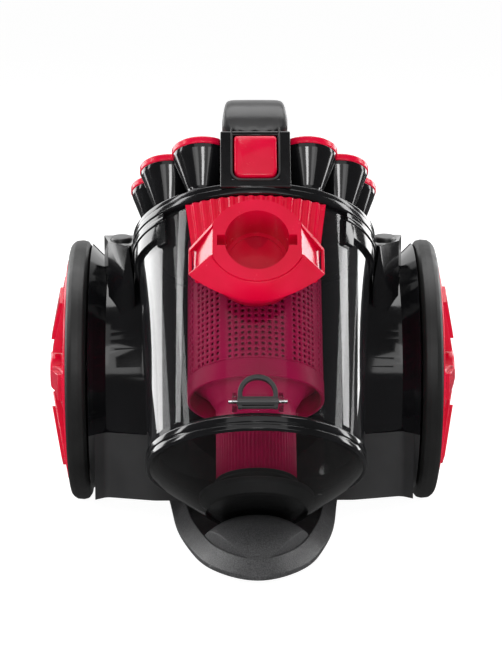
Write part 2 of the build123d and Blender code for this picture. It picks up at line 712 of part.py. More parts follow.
with BuildPart() as inlet_port:
    extrude(port_outline(PORT_FACE - 6, FACE_HALF_W, FACE_STRAIGHT, -FACE_STRAIGHT,
                         FACE_TOP, -FACE_TOP), amount=6)
    add(port_outline(60.0, 46.0, -2.0, -12.0, 33.0, -38.0))
    add(port_outline(PORT_FACE - 6, FACE_HALF_W, FACE_STRAIGHT, -FACE_STRAIGHT,
                     FACE_TOP, -FACE_TOP))
    loft()
    shield_x = 100.0 * math.sin(math.radians(SHIELD_DEG))
    shield_y = 100.0 * math.cos(math.radians(SHIELD_DEG))
    with BuildSketch(BIN.offset(SHIELD_LOW_T)):
        with BuildLine():
            Polyline((0, 0), (shield_x, -shield_y), (-shield_x, -shield_y), close=True)
        make_face()
        Circle(84.0, mode=Mode.INTERSECT)
        with PolarLocations(83.4, 9, start_angle=-90 - 32, angular_range=64, endpoint=True):
            Rectangle(4.0, 3.2)
    extrude(amount=SHIELD_TOP_T - SHIELD_LOW_T)
    add(tube_solid(SHIELD_TOP_T + 5, 0.0), mode=Mode.SUBTRACT)
    with BuildSketch(BIN_FRONT.offset(PORT_FACE)):
        with Locations((0, PORT_T)):
            Circle(PORT_R)
    extrude(amount=-PORT_DEPTH, mode=Mode.SUBTRACT)
    with BuildSketch(BIN_FRONT.offset(PORT_FACE)):
        with Locations((0, PORT_T)):
            Circle(PORT_HOLE_R)
    extrude(amount=-60, mode=Mode.SUBTRACT)
    with BuildSketch(BIN_FRONT.offset(PORT_FACE)):
        with Locations((0, PORT_T)):
            Rectangle(2 * (PORT_R + 4.8), 7.4)
    extrude(amount=-5, mode=Mode.SUBTRACT)
save(inlet_port, "inlet_port")

# ---- bin: cyclone crown, shroud and centre tube -------------------------------------------
POST_FRONT = 84.0          # handle posts stand between these distances from the bin's axis
POST_BACK = 58.0


def handle_posts(low, high, half_w):
    """Upright blocks where the handle passes through the crown."""
    with BuildPart() as posts:
        with BuildSketch(BIN.offset(low)):
            for side in (-1, 1):
                with Locations((0, side * (POST_FRONT + POST_BACK) / 2)):
                    Rectangle(2 * half_w, POST_FRONT - POST_BACK + 4)
        extrude(amount=high - low)
    return posts.part


def crown_place(angle):
    """Plan place of one cyclone on its ring, from the front."""
    turn = math.radians(angle)
    return (CYCLONE_RING_R * math.sin(turn), -CYCLONE_RING_R * math.cos(turn))


with BuildPart() as cyclone_body:
    with BuildSketch(BIN.offset(FLANGE_TOP)):
        Circle(COLLAR_R - 0.5)
    extrude(amount=DECK_TOP - FLANGE_TOP)
    for angle in CYCLONE_ANGLES:
        place = crown_place(angle)
        with BuildSketch(BIN.offset(DECK_TOP)) as low_ring:
            with Locations(place):
                Circle(CYCLONE_R_LOW)
        with BuildSketch(BIN.offset(CROWN_TOP)) as top_ring:
            with Locations(place):
                Circle(CYCLONE_R_TOP - 0.5)
        loft()
    for angle in CYCLONE_ANGLES:
        place = crown_place(angle)
        with BuildSketch(BIN.offset(DECK_TOP)):
            with Locations(place):
                Circle(8.0)
        with BuildSketch(BIN.offset(CROWN_TOP)):
            with Locations(place):
                Circle(15.5)
        loft(mode=Mode.SUBTRACT)
        with BuildSketch(BIN.offset(FLANGE_TOP - 1)):
            with Locations(place):
                Circle(6.0)
        extrude(amount=8, mode=Mode.SUBTRACT)
    add(handle_posts(FLANGE_TOP, CROWN_TOP + 1, HANDLE_HALF_W), mode=Mode.SUBTRACT)
save(cyclone_body, "cyclone_body")

with BuildPart() as cyclone_cover:
    with BuildSketch(BIN.offset(CROWN_TOP)):
        Circle(CYCLONE_RING_R)
        for angle in CYCLONE_ANGLES:
            with Locations(crown_place(angle)):
                Circle(CYCLONE_R_TOP)
    extrude(amount=COVER_TOP - CROWN_TOP)
    add(handle_posts(CROWN_TOP - 1, COVER_TOP + 1, HANDLE_HALF_W), mode=Mode.SUBTRACT)
save(cyclone_cover, "cyclone_cover")

SHROUD_R = 46.0
SHROUD_LOW = 80.0
with BuildPart() as shroud_filter:
    add(bin_turned([
        (SHROUD_R - 2, SHROUD_LOW), (SHROUD_R, SHROUD_LOW), (SHROUD_R, FLANGE_TOP),
        (SHROUD_R - 2, FLANGE_TOP)]))
    with BuildSketch(BIN_SIDE.offset(-60)):
        for t in (108.0, 124.0, 140.0, 156.0):
            for p in (-18.0, 0.0, 18.0):
                with Locations((p, t)):
                    Rectangle(14.0, 10.0)
    extrude(amount=120, mode=Mode.SUBTRACT)
save(shroud_filter, "shroud_filter")

CENTRE_R = 27.0
CENTRE_TOP = 74.0
with BuildPart() as centre_tube:
    add(bin_turned([(CENTRE_R - 2, 22.0), (CENTRE_R, 22.0), (CENTRE_R, CENTRE_TOP),
                    (CENTRE_R - 2, CENTRE_TOP)]))
save(centre_tube, "dust_collector_tube")

with BuildPart() as collector_flare:
    add(bin_turned([
        (CENTRE_R - 2, CENTRE_TOP), (CENTRE_R, CENTRE_TOP), (33.5, 85.0), (43.9, 93.0), (43.9, 95.0),
        (32.0, 87.0)]))
save(collector_flare, "collector_flare")

save_part(bin_turned([(CENTRE_R - 3, 14.0), (CENTRE_R + 1, 14.0), (CENTRE_R + 1, 22.0),
                      (CENTRE_R - 3, 22.0)]), "collector_seal")
save_part(bin_turned([(48.0, FLANGE_TOP - 3.5), (73.5, FLANGE_TOP - 3.5), (73.5, FLANGE_TOP),
                      (48.0, FLANGE_TOP)]), "deck_gasket")

# ---- bin: handle and release button -------------------------------------------------------
GRIP_TOP = 283.0
GRIP_LOW = 269.0
BUTTON_POCKET_T = (205.0, 238.0)
BUTTON_POCKET_HALF_W = 15.0
BUTTON_POCKET_DEPTH = 14.0


def handle_block(low, high):
    """Front and back posts and the arched grip, seen from the side."""
    with BuildPart() as block:
        with BuildSketch(BIN_SIDE.offset(-HANDLE_HALF_W)):
            with BuildLine():
                Polyline((-POST_FRONT, FLANGE_TOP), (-POST_FRONT, 256), (-67, 275), (-42, GRIP_TOP),
                         (40, GRIP_TOP), (66, 275), (POST_FRONT - 2, 258), (POST_FRONT - 2, FLANGE_TOP),
                         (POST_BACK + 4, FLANGE_TOP), (POST_BACK + 4, 252), (52, 263), (38, GRIP_LOW),
                         (-38, GRIP_LOW), (-50, 263), (-POST_BACK, 250), (-POST_BACK, FLANGE_TOP),
                         close=True)
            make_face()
        extrude(amount=2 * HANDLE_HALF_W)
        with BuildSketch(BIN_FRONT.offset(-100)):
            with BuildLine():
                Polyline((-HANDLE_HALF_W, FLANGE_TOP), (-HANDLE_HALF_W, 240), (-19, 290), (19, 290),
                         (HANDLE_HALF_W, 240), (HANDLE_HALF_W, FLANGE_TOP), close=True)
            make_face()
        extrude(amount=200, mode=Mode.INTERSECT)
        with BuildSketch(BIN.offset(low)):
            Rectangle(100, 200)
        extrude(amount=high - low, mode=Mode.INTERSECT)
    return block.part


with BuildPart() as handle_frame:
    add(handle_block(FLANGE_TOP, 241.0))
    with BuildSketch(BIN_FRONT.offset(POST_FRONT)):
        with Locations((0, sum(BUTTON_POCKET_T) / 2)):
            Rectangle(2 * BUTTON_POCKET_HALF_W, BUTTON_POCKET_T[1] - BUTTON_POCKET_T[0])
    extrude(amount=-BUTTON_POCKET_DEPTH, mode=Mode.SUBTRACT)
with BuildPart() as handle_front_post:
    add(handle_frame.part.solids().sort_by(Axis.Y)[0])
save(handle_front_post, "handle_front_post")
with BuildPart() as handle_rear_post:
    add(handle_frame.part.solids().sort_by(Axis.Y)[-1])
save(handle_rear_post, "handle_rear_post")
save_part(handle_block(241.0, 300.0), "handle_grip")

with BuildPart() as release_button:
    with BuildSketch(BIN_FRONT.offset(POST_FRONT - 9.5)):
        with Locations((0, sum(BUTTON_POCKET_T) / 2)):
            Rectangle(2 * (BUTTON_POCKET_HALF_W - RUN_GAP),
                      BUTTON_POCKET_T[1] - BUTTON_POCKET_T[0] - 2 * RUN_GAP)
    extrude(amount=11.0)
    fillet(release_button.edges().filter_by(
        lambda e: abs(e.length - 11.0) < 0.01), radius=4.0)
save(release_button, "release_button")

# ---- bin lid ------------------------------------------------------------------------------
LID_GAP = 0.5
HINGE_P = 77.5
HINGE_T = 42.0
HINGE_PIN_R = 1.5
HINGE_HALF_W = 14.0
RING_R = 74.0
CONE_TOP_R = 71.5

with BuildPart() as lid_cone:
    add(bin_turned([
        (0, 0), (34, 0), (64, 23), (CONE_TOP_R, 30), (CONE_TOP_R, 34), (CONE_TOP_R - 2.5, 34),
        (CONE_TOP_R - 2.5, 31), (62.4, 24.7), (32.8, TUBE_WALL), (0, TUBE_WALL)]))
save(lid_cone, "lid_cone")

with BuildPart() as lid_ring:
    add(bin_turned([
        (CONE_TOP_R, 30), (RING_R - 1, 30), (RING_R, 31), (RING_R, 39.5), (RING_R - 1, LID_TOP - LID_GAP),
        (68.9, LID_TOP - LID_GAP), (68.9, 34), (CONE_TOP_R, 34)]))
    with BuildSketch(BIN_SIDE.offset(-HINGE_HALF_W + 4)):
        with Locations((HINGE_P, HINGE_T)):
            Circle(3.0)
        with BuildLine():
            Polyline((RING_R - 2, 33), (RING_R - 2, 40), (HINGE_P - 1, HINGE_T + 2.5),
                     (HINGE_P + 2.8, HINGE_T - 1), close=True)
        make_face()
        with Locations((HINGE_P, HINGE_T)):
            Circle(HINGE_PIN_R + PIN_GAP, mode=Mode.SUBTRACT)
    extrude(amount=2 * HINGE_HALF_W - 8)
save(lid_ring, "lid_ring")

with BuildPart() as lid_hinge_pin:
    with BuildSketch(BIN_SIDE.offset(-HINGE_HALF_W)):
        with Locations((HINGE_P, HINGE_T)):
            Circle(HINGE_PIN_R)
    extrude(amount=2 * HINGE_HALF_W)
save(lid_hinge_pin, "lid_hinge_pin")

with BuildPart() as hinge_lugs_builder:
    for side in (-1, 1):
        with BuildSketch(BIN_SIDE.offset(side * (HINGE_HALF_W - 3.5))):
            with Locations((HINGE_P, HINGE_T)):
                Circle(3.0)
            with BuildLine():
                Polyline((HINGE_P - 2.5, HINGE_T + 1), (68, 46.5), (68, 56), (HINGE_P + 2.7, HINGE_T + 1),
                         close=True)
            make_face()
            with Locations((HINGE_P, HINGE_T)):
                Circle(HINGE_PIN_R, mode=Mode.SUBTRACT)
        extrude(amount=side * 3.5)
    add(tube_solid(TUBE_TOP, -1.0), mode=Mode.SUBTRACT)
hinge_lugs = hinge_lugs_builder.part

save_part(bin_turned([(66.0, 34.0), (68.6, 34.0), (68.6, 43.0), (67.6, 44.0), (66.0, 44.0)]),
          "lid_seal")

# ---- latch on the front of the bin --------------------------------------------------------
LATCH_HINGE_T = 47.5
LATCH_HINGE_P = -78.0
LATCH_PIN_R = 1.2
LATCH_BARREL_R = 2.6
LATCH_HALF_W = 15.5
LATCH_LOW = 43.0
LATCH_SHOULDER = 52.0      # where the arch of the loop springs from
LATCH_TOP = 66.5
LOOP_LOW = 51.2
LOOP_HALF_W = 11.0
LATCH_BACK = 75.3

with BuildPart() as bin_latch:
    with BuildSketch(BIN_FRONT.offset(LATCH_BACK)):
        with BuildLine():
            Line((-LATCH_HALF_W, LATCH_LOW), (-LATCH_HALF_W, LATCH_SHOULDER))
            ThreePointArc((-LATCH_HALF_W, LATCH_SHOULDER), (0, LATCH_TOP),
                          (LATCH_HALF_W, LATCH_SHOULDER))
            Polyline((LATCH_HALF_W, LATCH_SHOULDER), (LATCH_HALF_W, LATCH_LOW),
                     (-LATCH_HALF_W, LATCH_LOW))
        make_face()
        with BuildLine():
            Line((-LOOP_HALF_W, LOOP_LOW), (-LOOP_HALF_W, LATCH_SHOULDER + 1.5))
            ThreePointArc((-LOOP_HALF_W, LATCH_SHOULDER + 1.5), (0, LATCH_TOP - 4.5),
                          (LOOP_HALF_W, LATCH_SHOULDER + 1.5))
            Polyline((LOOP_HALF_W, LATCH_SHOULDER + 1.5), (LOOP_HALF_W, LOOP_LOW),
                     (-LOOP_HALF_W, LOOP_LOW))
        make_face(mode=Mode.SUBTRACT)
    extrude(amount=3.7)
    with BuildSketch(BIN_SIDE.offset(-LATCH_HALF_W)):
        with Locations((LATCH_HINGE_P, LATCH_HINGE_T)):
            Circle(LATCH_BARREL_R)
    extrude(amount=2 * LATCH_HALF_W)
    with BuildSketch(BIN_SIDE.offset(-20)):
        with Locations((LATCH_HINGE_P, LATCH_HINGE_T)):
            Circle(LATCH_PIN_R + PIN_GAP)
    extrude(amount=40, mode=Mode.SUBTRACT)
save(bin_latch, "bin_latch")

with BuildPart() as latch_lugs_builder:
    for side in (-1, 1):
        with BuildSketch(BIN_SIDE.offset(side * (LATCH_HALF_W + RUN_GAP))):
            with BuildLine():
                Polyline((-68, 43.5), (-80.6, 44.5), (-80.6, 50.5), (-68, 57), close=True)
            make_face()
            with Locations((LATCH_HINGE_P, LATCH_HINGE_T)):
                Circle(LATCH_PIN_R, mode=Mode.SUBTRACT)
        extrude(amount=side * 3.0)
    add(tube_solid(TUBE_TOP, -1.0), mode=Mode.SUBTRACT)
latch_lugs = latch_lugs_builder.part

with BuildPart() as latch_pin:
    with BuildSketch(BIN_SIDE.offset(-LATCH_HALF_W - RUN_GAP - 3)):
        with Locations((LATCH_HINGE_P, LATCH_HINGE_T)):
            Circle(LATCH_PIN_R)
    extrude(amount=2 * (LATCH_HALF_W + RUN_GAP + 3))
save(latch_pin, "latch_pin")

# ---- clear tube with its moulded lugs -----------------------------------------------------
with BuildPart() as bin_tube:
    add(bin_turned([
        (tube_radius(LID_TOP) - TUBE_WALL, LID_TOP), (tube_radius(LID_TOP), LID_TOP),
        (tube_radius(TUBE_TOP), TUBE_TOP), (tube_radius(TUBE_TOP) - TUBE_WALL, TUBE_TOP)]))
    add(hinge_lugs)
    add(latch_lugs)
    with BuildSketch(BIN_FRONT.offset(60)):
        with Locations((0, PORT_T)):
            Circle(PORT_HOLE_R)
    extrude(amount=30, mode=Mode.SUBTRACT)
save(bin_tube, "bin_tube")
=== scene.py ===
"""Looks of the canister vacuum cleaner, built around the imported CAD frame. Lengths are in metres."""
import bpy
import bmesh
import json
import math
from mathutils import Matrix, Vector


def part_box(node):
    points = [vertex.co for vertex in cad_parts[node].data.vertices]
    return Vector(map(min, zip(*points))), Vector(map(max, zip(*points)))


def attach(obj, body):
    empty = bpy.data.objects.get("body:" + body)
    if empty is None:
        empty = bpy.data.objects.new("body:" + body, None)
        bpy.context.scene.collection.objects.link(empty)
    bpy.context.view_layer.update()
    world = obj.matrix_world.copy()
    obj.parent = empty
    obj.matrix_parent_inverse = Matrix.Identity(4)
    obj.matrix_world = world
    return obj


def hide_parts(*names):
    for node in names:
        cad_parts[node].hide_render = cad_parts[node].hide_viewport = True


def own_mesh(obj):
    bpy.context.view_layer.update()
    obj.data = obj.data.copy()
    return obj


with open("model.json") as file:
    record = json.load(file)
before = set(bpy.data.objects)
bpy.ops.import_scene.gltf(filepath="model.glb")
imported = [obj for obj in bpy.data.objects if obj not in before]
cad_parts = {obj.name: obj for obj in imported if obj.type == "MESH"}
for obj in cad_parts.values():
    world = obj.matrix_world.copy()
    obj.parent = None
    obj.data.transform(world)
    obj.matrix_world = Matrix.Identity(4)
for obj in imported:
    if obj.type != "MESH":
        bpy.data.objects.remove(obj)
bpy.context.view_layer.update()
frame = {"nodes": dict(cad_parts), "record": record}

MM = 0.001
bpy.context.scene.view_settings.view_transform = "Standard"

# ---- places taken from the CAD frame ------------------------------------------------------
TYRE_LOW, TYRE_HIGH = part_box("left_tyre")
AXLE = Vector((0.0, (TYRE_LOW[1] + TYRE_HIGH[1]) / 2, (TYRE_LOW[2] + TYRE_HIGH[2]) / 2))
BIN_TILT = math.radians(34.5)
BIN_FOOT = Vector((0.0, -0.116, 0.035))
UP = Vector((0.0, math.sin(BIN_TILT), math.cos(BIN_TILT)))
BACK = Vector((0.0, math.cos(BIN_TILT), -math.sin(BIN_TILT)))
SIDE = Vector((1.0, 0.0, 0.0))


def bin_point(x, back, height):
    """Point from bin coordinates in millimetres: across, to the rear, up the bin's axis."""
    return BIN_FOOT + (SIDE * x + BACK * back + UP * height) * MM


def bin_ring(radius, height, angle):
    """Point round the bin's axis; angle 0 is the front, positive to +X, in degrees."""
    turn = math.radians(angle)
    return bin_point(radius * math.sin(turn), -radius * math.cos(turn), height)


def axle_ring(radius, x, angle):
    """Point round the axle, x millimetres across; angle 0 is the top, positive to the rear."""
    turn = math.radians(angle)
    return AXLE + Vector((x, radius * math.sin(turn), radius * math.cos(turn))) * MM


# ---- materials ----------------------------------------------------------------------------
COARSE_GRAIN = 0.5      # a plastic with more grain than this is speckled instead of drifting in colour
SPECKLE_SCALE = 1100.0
DRIFT_SCALE = 35.0


def new_material(name):
    """Material with its nodes, its links and its main shader."""
    material = bpy.data.materials.new(name)
    material.use_nodes = True
    nodes = material.node_tree.nodes
    return material, nodes, material.node_tree.links, nodes["Principled BSDF"]


def noise(nodes, links, scale, detail=3.0, rough=0.5):
    """Noise in object space, so that it stays on the piece."""
    coord = nodes.new("ShaderNodeTexCoord")
    tex = nodes.new("ShaderNodeTexNoise")
    tex.inputs["Scale"].default_value = scale
    tex.inputs["Detail"].default_value = detail
    tex.inputs["Roughness"].default_value = rough
    links.new(coord.outputs["Object"], tex.inputs["Vector"])
    return tex


def ramp(nodes, links, source, low, high, start=0.3, end=0.7):
    """Colour ramp between two colours or two greys."""
    node = nodes.new("ShaderNodeValToRGB")
    node.color_ramp.elements[0].position = start
    node.color_ramp.elements[1].position = end
    node.color_ramp.elements[0].color = low if isinstance(low, tuple) else (low, low, low, 1)
    node.color_ramp.elements[1].color = high if isinstance(high, tuple) else (high, high, high, 1)
    links.new(source, node.inputs["Fac"])
    return node.outputs["Color"]


def bump(nodes, links, shader, height, strength, distance):
    """Bump from a height value; distance in metres."""
    node = nodes.new("ShaderNodeBump")
    node.inputs["Strength"].default_value = strength
    node.inputs["Distance"].default_value = distance
    links.new(height, node.inputs["Height"])
    links.new(node.outputs["Normal"], shader.inputs["Normal"])


def plastic(name, dark, light, rough_low, rough_high, grain=0.0, grain_scale=900.0, coat=0.0,
            specular=0.5):
    """Moulded plastic: slight drift of colour, uneven gloss and, if asked, a spark-eroded grain."""
    material, nodes, links, shader = new_material(name)
    if grain > COARSE_GRAIN:
        drift = noise(nodes, links, SPECKLE_SCALE, 2.0)
    else:
        drift = noise(nodes, links, DRIFT_SCALE, 4.0)
    colour = ramp(nodes, links, drift.outputs["Fac"], (*dark, 1), (*light, 1))
    links.new(colour, shader.inputs["Base Color"])
    wear = noise(nodes, links, 120.0, 5.0, 0.65)
    gloss = ramp(nodes, links, wear.outputs["Fac"], rough_low, rough_high)
    links.new(gloss, shader.inputs["Roughness"])
    shader.inputs["Coat Weight"].default_value = coat
    shader.inputs["Coat Roughness"].default_value = 0.04
    shader.inputs["Specular IOR Level"].default_value = specular
    if grain:
        fine = noise(nodes, links, grain_scale, 2.0)
        bump(nodes, links, shader, fine.outputs["Fac"], grain, 0.0003)
    else:
        ripple = noise(nodes, links, 30.0, 1.0)
        bump(nodes, links, shader, ripple.outputs["Fac"], 0.05, 0.0004)
    return material


def clear_plastic(name, tint, rough, facing_alpha, edge_alpha, ior):
    """Clear moulding: nearly see-through face on, denser and brighter towards its edges."""
    material, nodes, links, shader = new_material(name)
    drift = noise(nodes, links, 18.0, 2.0)
    low = tuple(c * 0.8 for c in tint)
    colour = ramp(nodes, links, drift.outputs["Fac"], (*low, 1), (*tint, 1))
    links.new(colour, shader.inputs["Base Color"])
    shader.inputs["Roughness"].default_value = rough
    shader.inputs["IOR"].default_value = ior
    shader.inputs["Coat Weight"].default_value = 1.0
    shader.inputs["Coat Roughness"].default_value = 0.02
    shader.inputs["Coat IOR"].default_value = ior
    edge = nodes.new("ShaderNodeLayerWeight")
    edge.inputs["Blend"].default_value = 0.5
    alpha = ramp(nodes, links, edge.outputs["Facing"], facing_alpha, edge_alpha, 0.15, 0.85)
    links.new(alpha, shader.inputs["Alpha"])
    ripple = noise(nodes, links, 25.0, 1.0)
    bump(nodes, links, shader, ripple.outputs["Fac"], 0.03, 0.0002)
    return material


def metal(name, colour, rough):
    """Bare metal with a fine grain."""
    material, nodes, links, shader = new_material(name)
    shader.inputs["Metallic"].default_value = 1.0
    grain = noise(nodes, links, 400.0, 6.0, 0.7)
    low = tuple(c * 0.8 for c in colour)
    shade = ramp(nodes, links, grain.outputs["Fac"], (*low, 1), (*colour, 1))
    links.new(shade, shader.inputs["Base Color"])
    gloss = ramp(nodes, links, grain.outputs["Fac"], rough * 0.7, rough * 1.3)
    links.new(gloss, shader.inputs["Roughness"])
    bump(nodes, links, shader, grain.outputs["Fac"], 0.1, 0.0001)
    return material


MATERIALS = {
    "body_gloss": plastic("body_gloss", (0.004, 0.004, 0.0045), (0.007, 0.007, 0.008),
                          0.09, 0.15, coat=0.3),
    "black_satin": plastic("black_satin", (0.030, 0.030, 0.031), (0.042, 0.042, 0.043),
                           0.30, 0.40, 0.12),
    "bumper_grey": plastic("bumper_grey", (0.022, 0.022, 0.023), (0.080, 0.080, 0.083),
                           0.42, 0.54, 0.8, 1000.0),
    "red_gloss": plastic("red_gloss", (0.66, 0.000, 0.028), (0.76, 0.001, 0.042),
                         0.20, 0.28, coat=0.12, specular=0.35),
    "shroud_red": plastic("shroud_red", (0.44, 0.000, 0.065), (0.54, 0.000, 0.090),
                          0.36, 0.46, 0.08, specular=0.2),
    "clear_smoke": clear_plastic("clear_smoke", (0.02, 0.02, 0.022), 0.07, 0.09, 0.85, 1.65),
    "lid_smoke": clear_plastic("lid_smoke", (0.004, 0.004, 0.004), 0.05, 0.20, 0.85, 1.5),
    "tyre_rubber": plastic("tyre_rubber", (0.006, 0.006, 0.006), (0.012, 0.012, 0.012),
                           0.42, 0.55, 0.25, 900.0),
    "seal_rubber": plastic("seal_rubber", (0.006, 0.006, 0.006), (0.011, 0.011, 0.011),
                           0.50, 0.65, 0.15),
    "steel": metal("steel", (0.60, 0.60, 0.62), 0.25),
    "motor_metal": metal("motor_metal", (0.66, 0.66, 0.68), 0.32),
    "filter_media": plastic("filter_media", (0.70, 0.71, 0.69), (0.82, 0.83, 0.80),
                            0.85, 0.95, 0.6, 700.0),
    "board_green": plastic("board_green", (0.010, 0.080, 0.030), (0.016, 0.120, 0.045), 0.35, 0.50),
}

SLOT_OF = {s["node"]: s["material_slot"] for s in frame["record"]["subparts"]}
BODY_OF = {n: b for b, members in frame["record"]["behaviour"]["bodies"].items() for n in members}
for node_name, obj in frame["nodes"].items():
    obj.data.materials.clear()
    obj.data.materials.append(MATERIALS[SLOT_OF[node_name]])


# ---- mesh helpers -------------------------------------------------------------------------
def place_piece(mesh, name, slot, body, nodes=(), sharp=32.0):
    """Object from a mesh: shaded, given its slot's material and set to ride on its body."""
    mesh.name = name
    mesh.materials.clear()
    mesh.materials.append(MATERIALS[slot])
    mesh.shade_smooth()
    mesh.set_sharp_from_angle(angle=math.radians(sharp))
    obj = bpy.data.objects.new(name, mesh)
    bpy.context.scene.collection.objects.link(obj)
    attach(obj, body)
    if nodes:
        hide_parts(*nodes)
    return obj


def mesh_of(parts):
    """One mesh from (points, faces) pairs, with doubled points merged and faces turned outward."""
    bm = bmesh.new()
    for points, faces in parts:
        made = [bm.verts.new(p) for p in points]
        for face in faces:
            loop = [made[i] for i in face]
            if len(set(loop)) > 2:
                bm.faces.new(loop)
    bmesh.ops.remove_doubles(bm, verts=bm.verts, dist=2e-6)
    bmesh.ops.dissolve_degenerate(bm, edges=bm.edges, dist=1e-6)
    bmesh.ops.recalc_face_normals(bm, faces=bm.faces)
    mesh = bpy.data.meshes.new("piece")
    bm.to_mesh(mesh)
    bm.free()
    return mesh


def arc(cx, cy, radius, start, end, steps):
    """Points of a circular arc, in degrees."""
    turns = [math.radians(start + (end - start) * i / steps) for i in range(steps + 1)]
    return [(cx + radius * math.cos(turn), cy + radius * math.sin(turn)) for turn in turns]


def rounded(corners, steps=4):
    """Closed outline of (a, b, radius) corners, each replaced by an arc of that radius."""
    outline = []
    count = len(corners)
    for i, (a, b, radius) in enumerate(corners):
        here = Vector((a, b))
        before = Vector(corners[i - 1][:2]) - here
        after = Vector(corners[(i + 1) % count][:2]) - here
        if radius <= 0:
            outline.append((a, b))
            continue
        half = before.angle(after) / 2
        reach = min(radius / math.tan(half), before.length * 0.49, after.length * 0.49)
        start = here + before.normalized() * reach
        end = here + after.normalized() * reach
        for k in range(steps + 1):
            t = k / steps
            point = start * (1 - t) ** 2 + here * 2 * t * (1 - t) + end * t * t
            outline.append((point.x, point.y))
    return outline


def lathe(outline, ring, steps=128, start=0.0, end=360.0):
    """Points and faces of a closed (radius, height) outline turned about an axis."""
    full = abs(end - start - 360.0) < 1e-6
    columns = steps if full else steps + 1
    count = len(outline)
    points = [ring(r, h, start + (end - start) * k / steps) for k in range(columns) for r, h in outline]
    faces = []
    for k in range(steps):
        a, b = k * count, ((k + 1) % columns) * count
        faces += [(a + i, a + (i + 1) % count, b + (i + 1) % count, b + i) for i in range(count)]
    if not full:
        faces += [tuple(range(count)), tuple(reversed(range((columns - 1) * count, columns * count)))]
    return points, faces


def prism(outline, place, low, high):
    """Points and faces of an outline pushed from low to high; place turns (u, v, w) into a point."""
    count = len(outline)
    points = [place(u, v, w) for w in (low, high) for u, v in outline]
    faces = [(i, (i + 1) % count, count + (i + 1) % count, count + i) for i in range(count)]
    return points, faces + [tuple(range(count)), tuple(range(count, 2 * count))]


def loft(rings):
    """Points and faces through closed rings with the same number of points, closed at both ends."""
    count = len(rings[0])
    points = [p for ring in rings for p in ring]
    faces = []
    for k in range(len(rings) - 1):
        a, b = k * count, (k + 1) * count
        faces += [(a + i, a + (i + 1) % count, b + (i + 1) % count, b + i) for i in range(count)]
    faces += [tuple(range(count)), tuple(range((len(rings) - 1) * count, len(rings) * count))]
    return points, faces


def bevel(obj, width, segments=2, angle=32.0):
    """Rounds the piece's sharp edges; width in millimetres, angle in degrees."""
    modifier = obj.modifiers.new("edges", "BEVEL")
    modifier.width = width * MM
    modifier.segments = segments
    modifier.limit_method = "ANGLE"
    modifier.angle_limit = math.radians(angle)
    modifier.use_clamp_overlap = True


def refined(node, width, segments=2, slot=None, merge=True):
    """The CAD node's own shape with rounded edges, in its place; merge joins its flat facets first."""
    bm = bmesh.new()
    bm.from_mesh(frame["nodes"][node].data)
    bmesh.ops.remove_doubles(bm, verts=bm.verts, dist=5e-6)
    if merge:
        bmesh.ops.dissolve_limit(bm, angle_limit=math.radians(0.5), verts=bm.verts, edges=bm.edges)
    mesh = bpy.data.meshes.new(node)
    bm.to_mesh(mesh)
    bm.free()
    obj = place_piece(mesh, node + "_moulding", slot or SLOT_OF[node], BODY_OF[node], (node,))
    bevel(obj, width, segments)


def cut(obj, cutter_parts):
    """Takes a shape out of the piece's mesh."""
    cutter = bpy.data.objects.new("cutter", mesh_of(cutter_parts))
    bpy.context.scene.collection.objects.link(cutter)
    modifier = obj.modifiers.new("cut", "BOOLEAN")
    modifier.operation = "DIFFERENCE"
    modifier.solver = "EXACT"
    modifier.object = cutter
    bpy.context.view_layer.update()
    made = bpy.data.meshes.new_from_object(obj.evaluated_get(bpy.context.evaluated_depsgraph_get()))
    obj.modifiers.remove(modifier)
    obj.data = made
    bpy.data.objects.remove(cutter)
    made.shade_smooth()
    made.set_sharp_from_angle(angle=math.radians(32))


# ---- wheels -------------------------------------------------------------------------------
SPOKES = 6
SPOKE_ROOT, SPOKE_LENGTH = 19.0, 59.0
SPOKE_SWIRL = 7.0       # degrees by which a spoke's root runs ahead of its tip


def make_tyre(side, word):
    """Smooth tyre with rounded shoulders and a stepped side wall."""
    outline = rounded([
        (117.5, 84.0, 0), (117.5, 91.0, 2), (119.6, 94.0, 2), (123.0, 94.8, 3), (127.6, 94.4, 3),
        (130.2, 92.6, 2), (131.6, 90.6, 1), (131.2, 89.6, 0.4), (132.0, 88.8, 0.4), (132.0, 85.6, 1.2),
        (130.8, 84.0, 0)])

    def ring(x, radius, angle):
        return axle_ring(radius, side * x, angle)

    mesh = mesh_of([lathe(outline, ring, 160)])
    place_piece(mesh, word + "_tyre_rubber", "tyre_rubber", word + "_wheel", (word + "_tyre",))


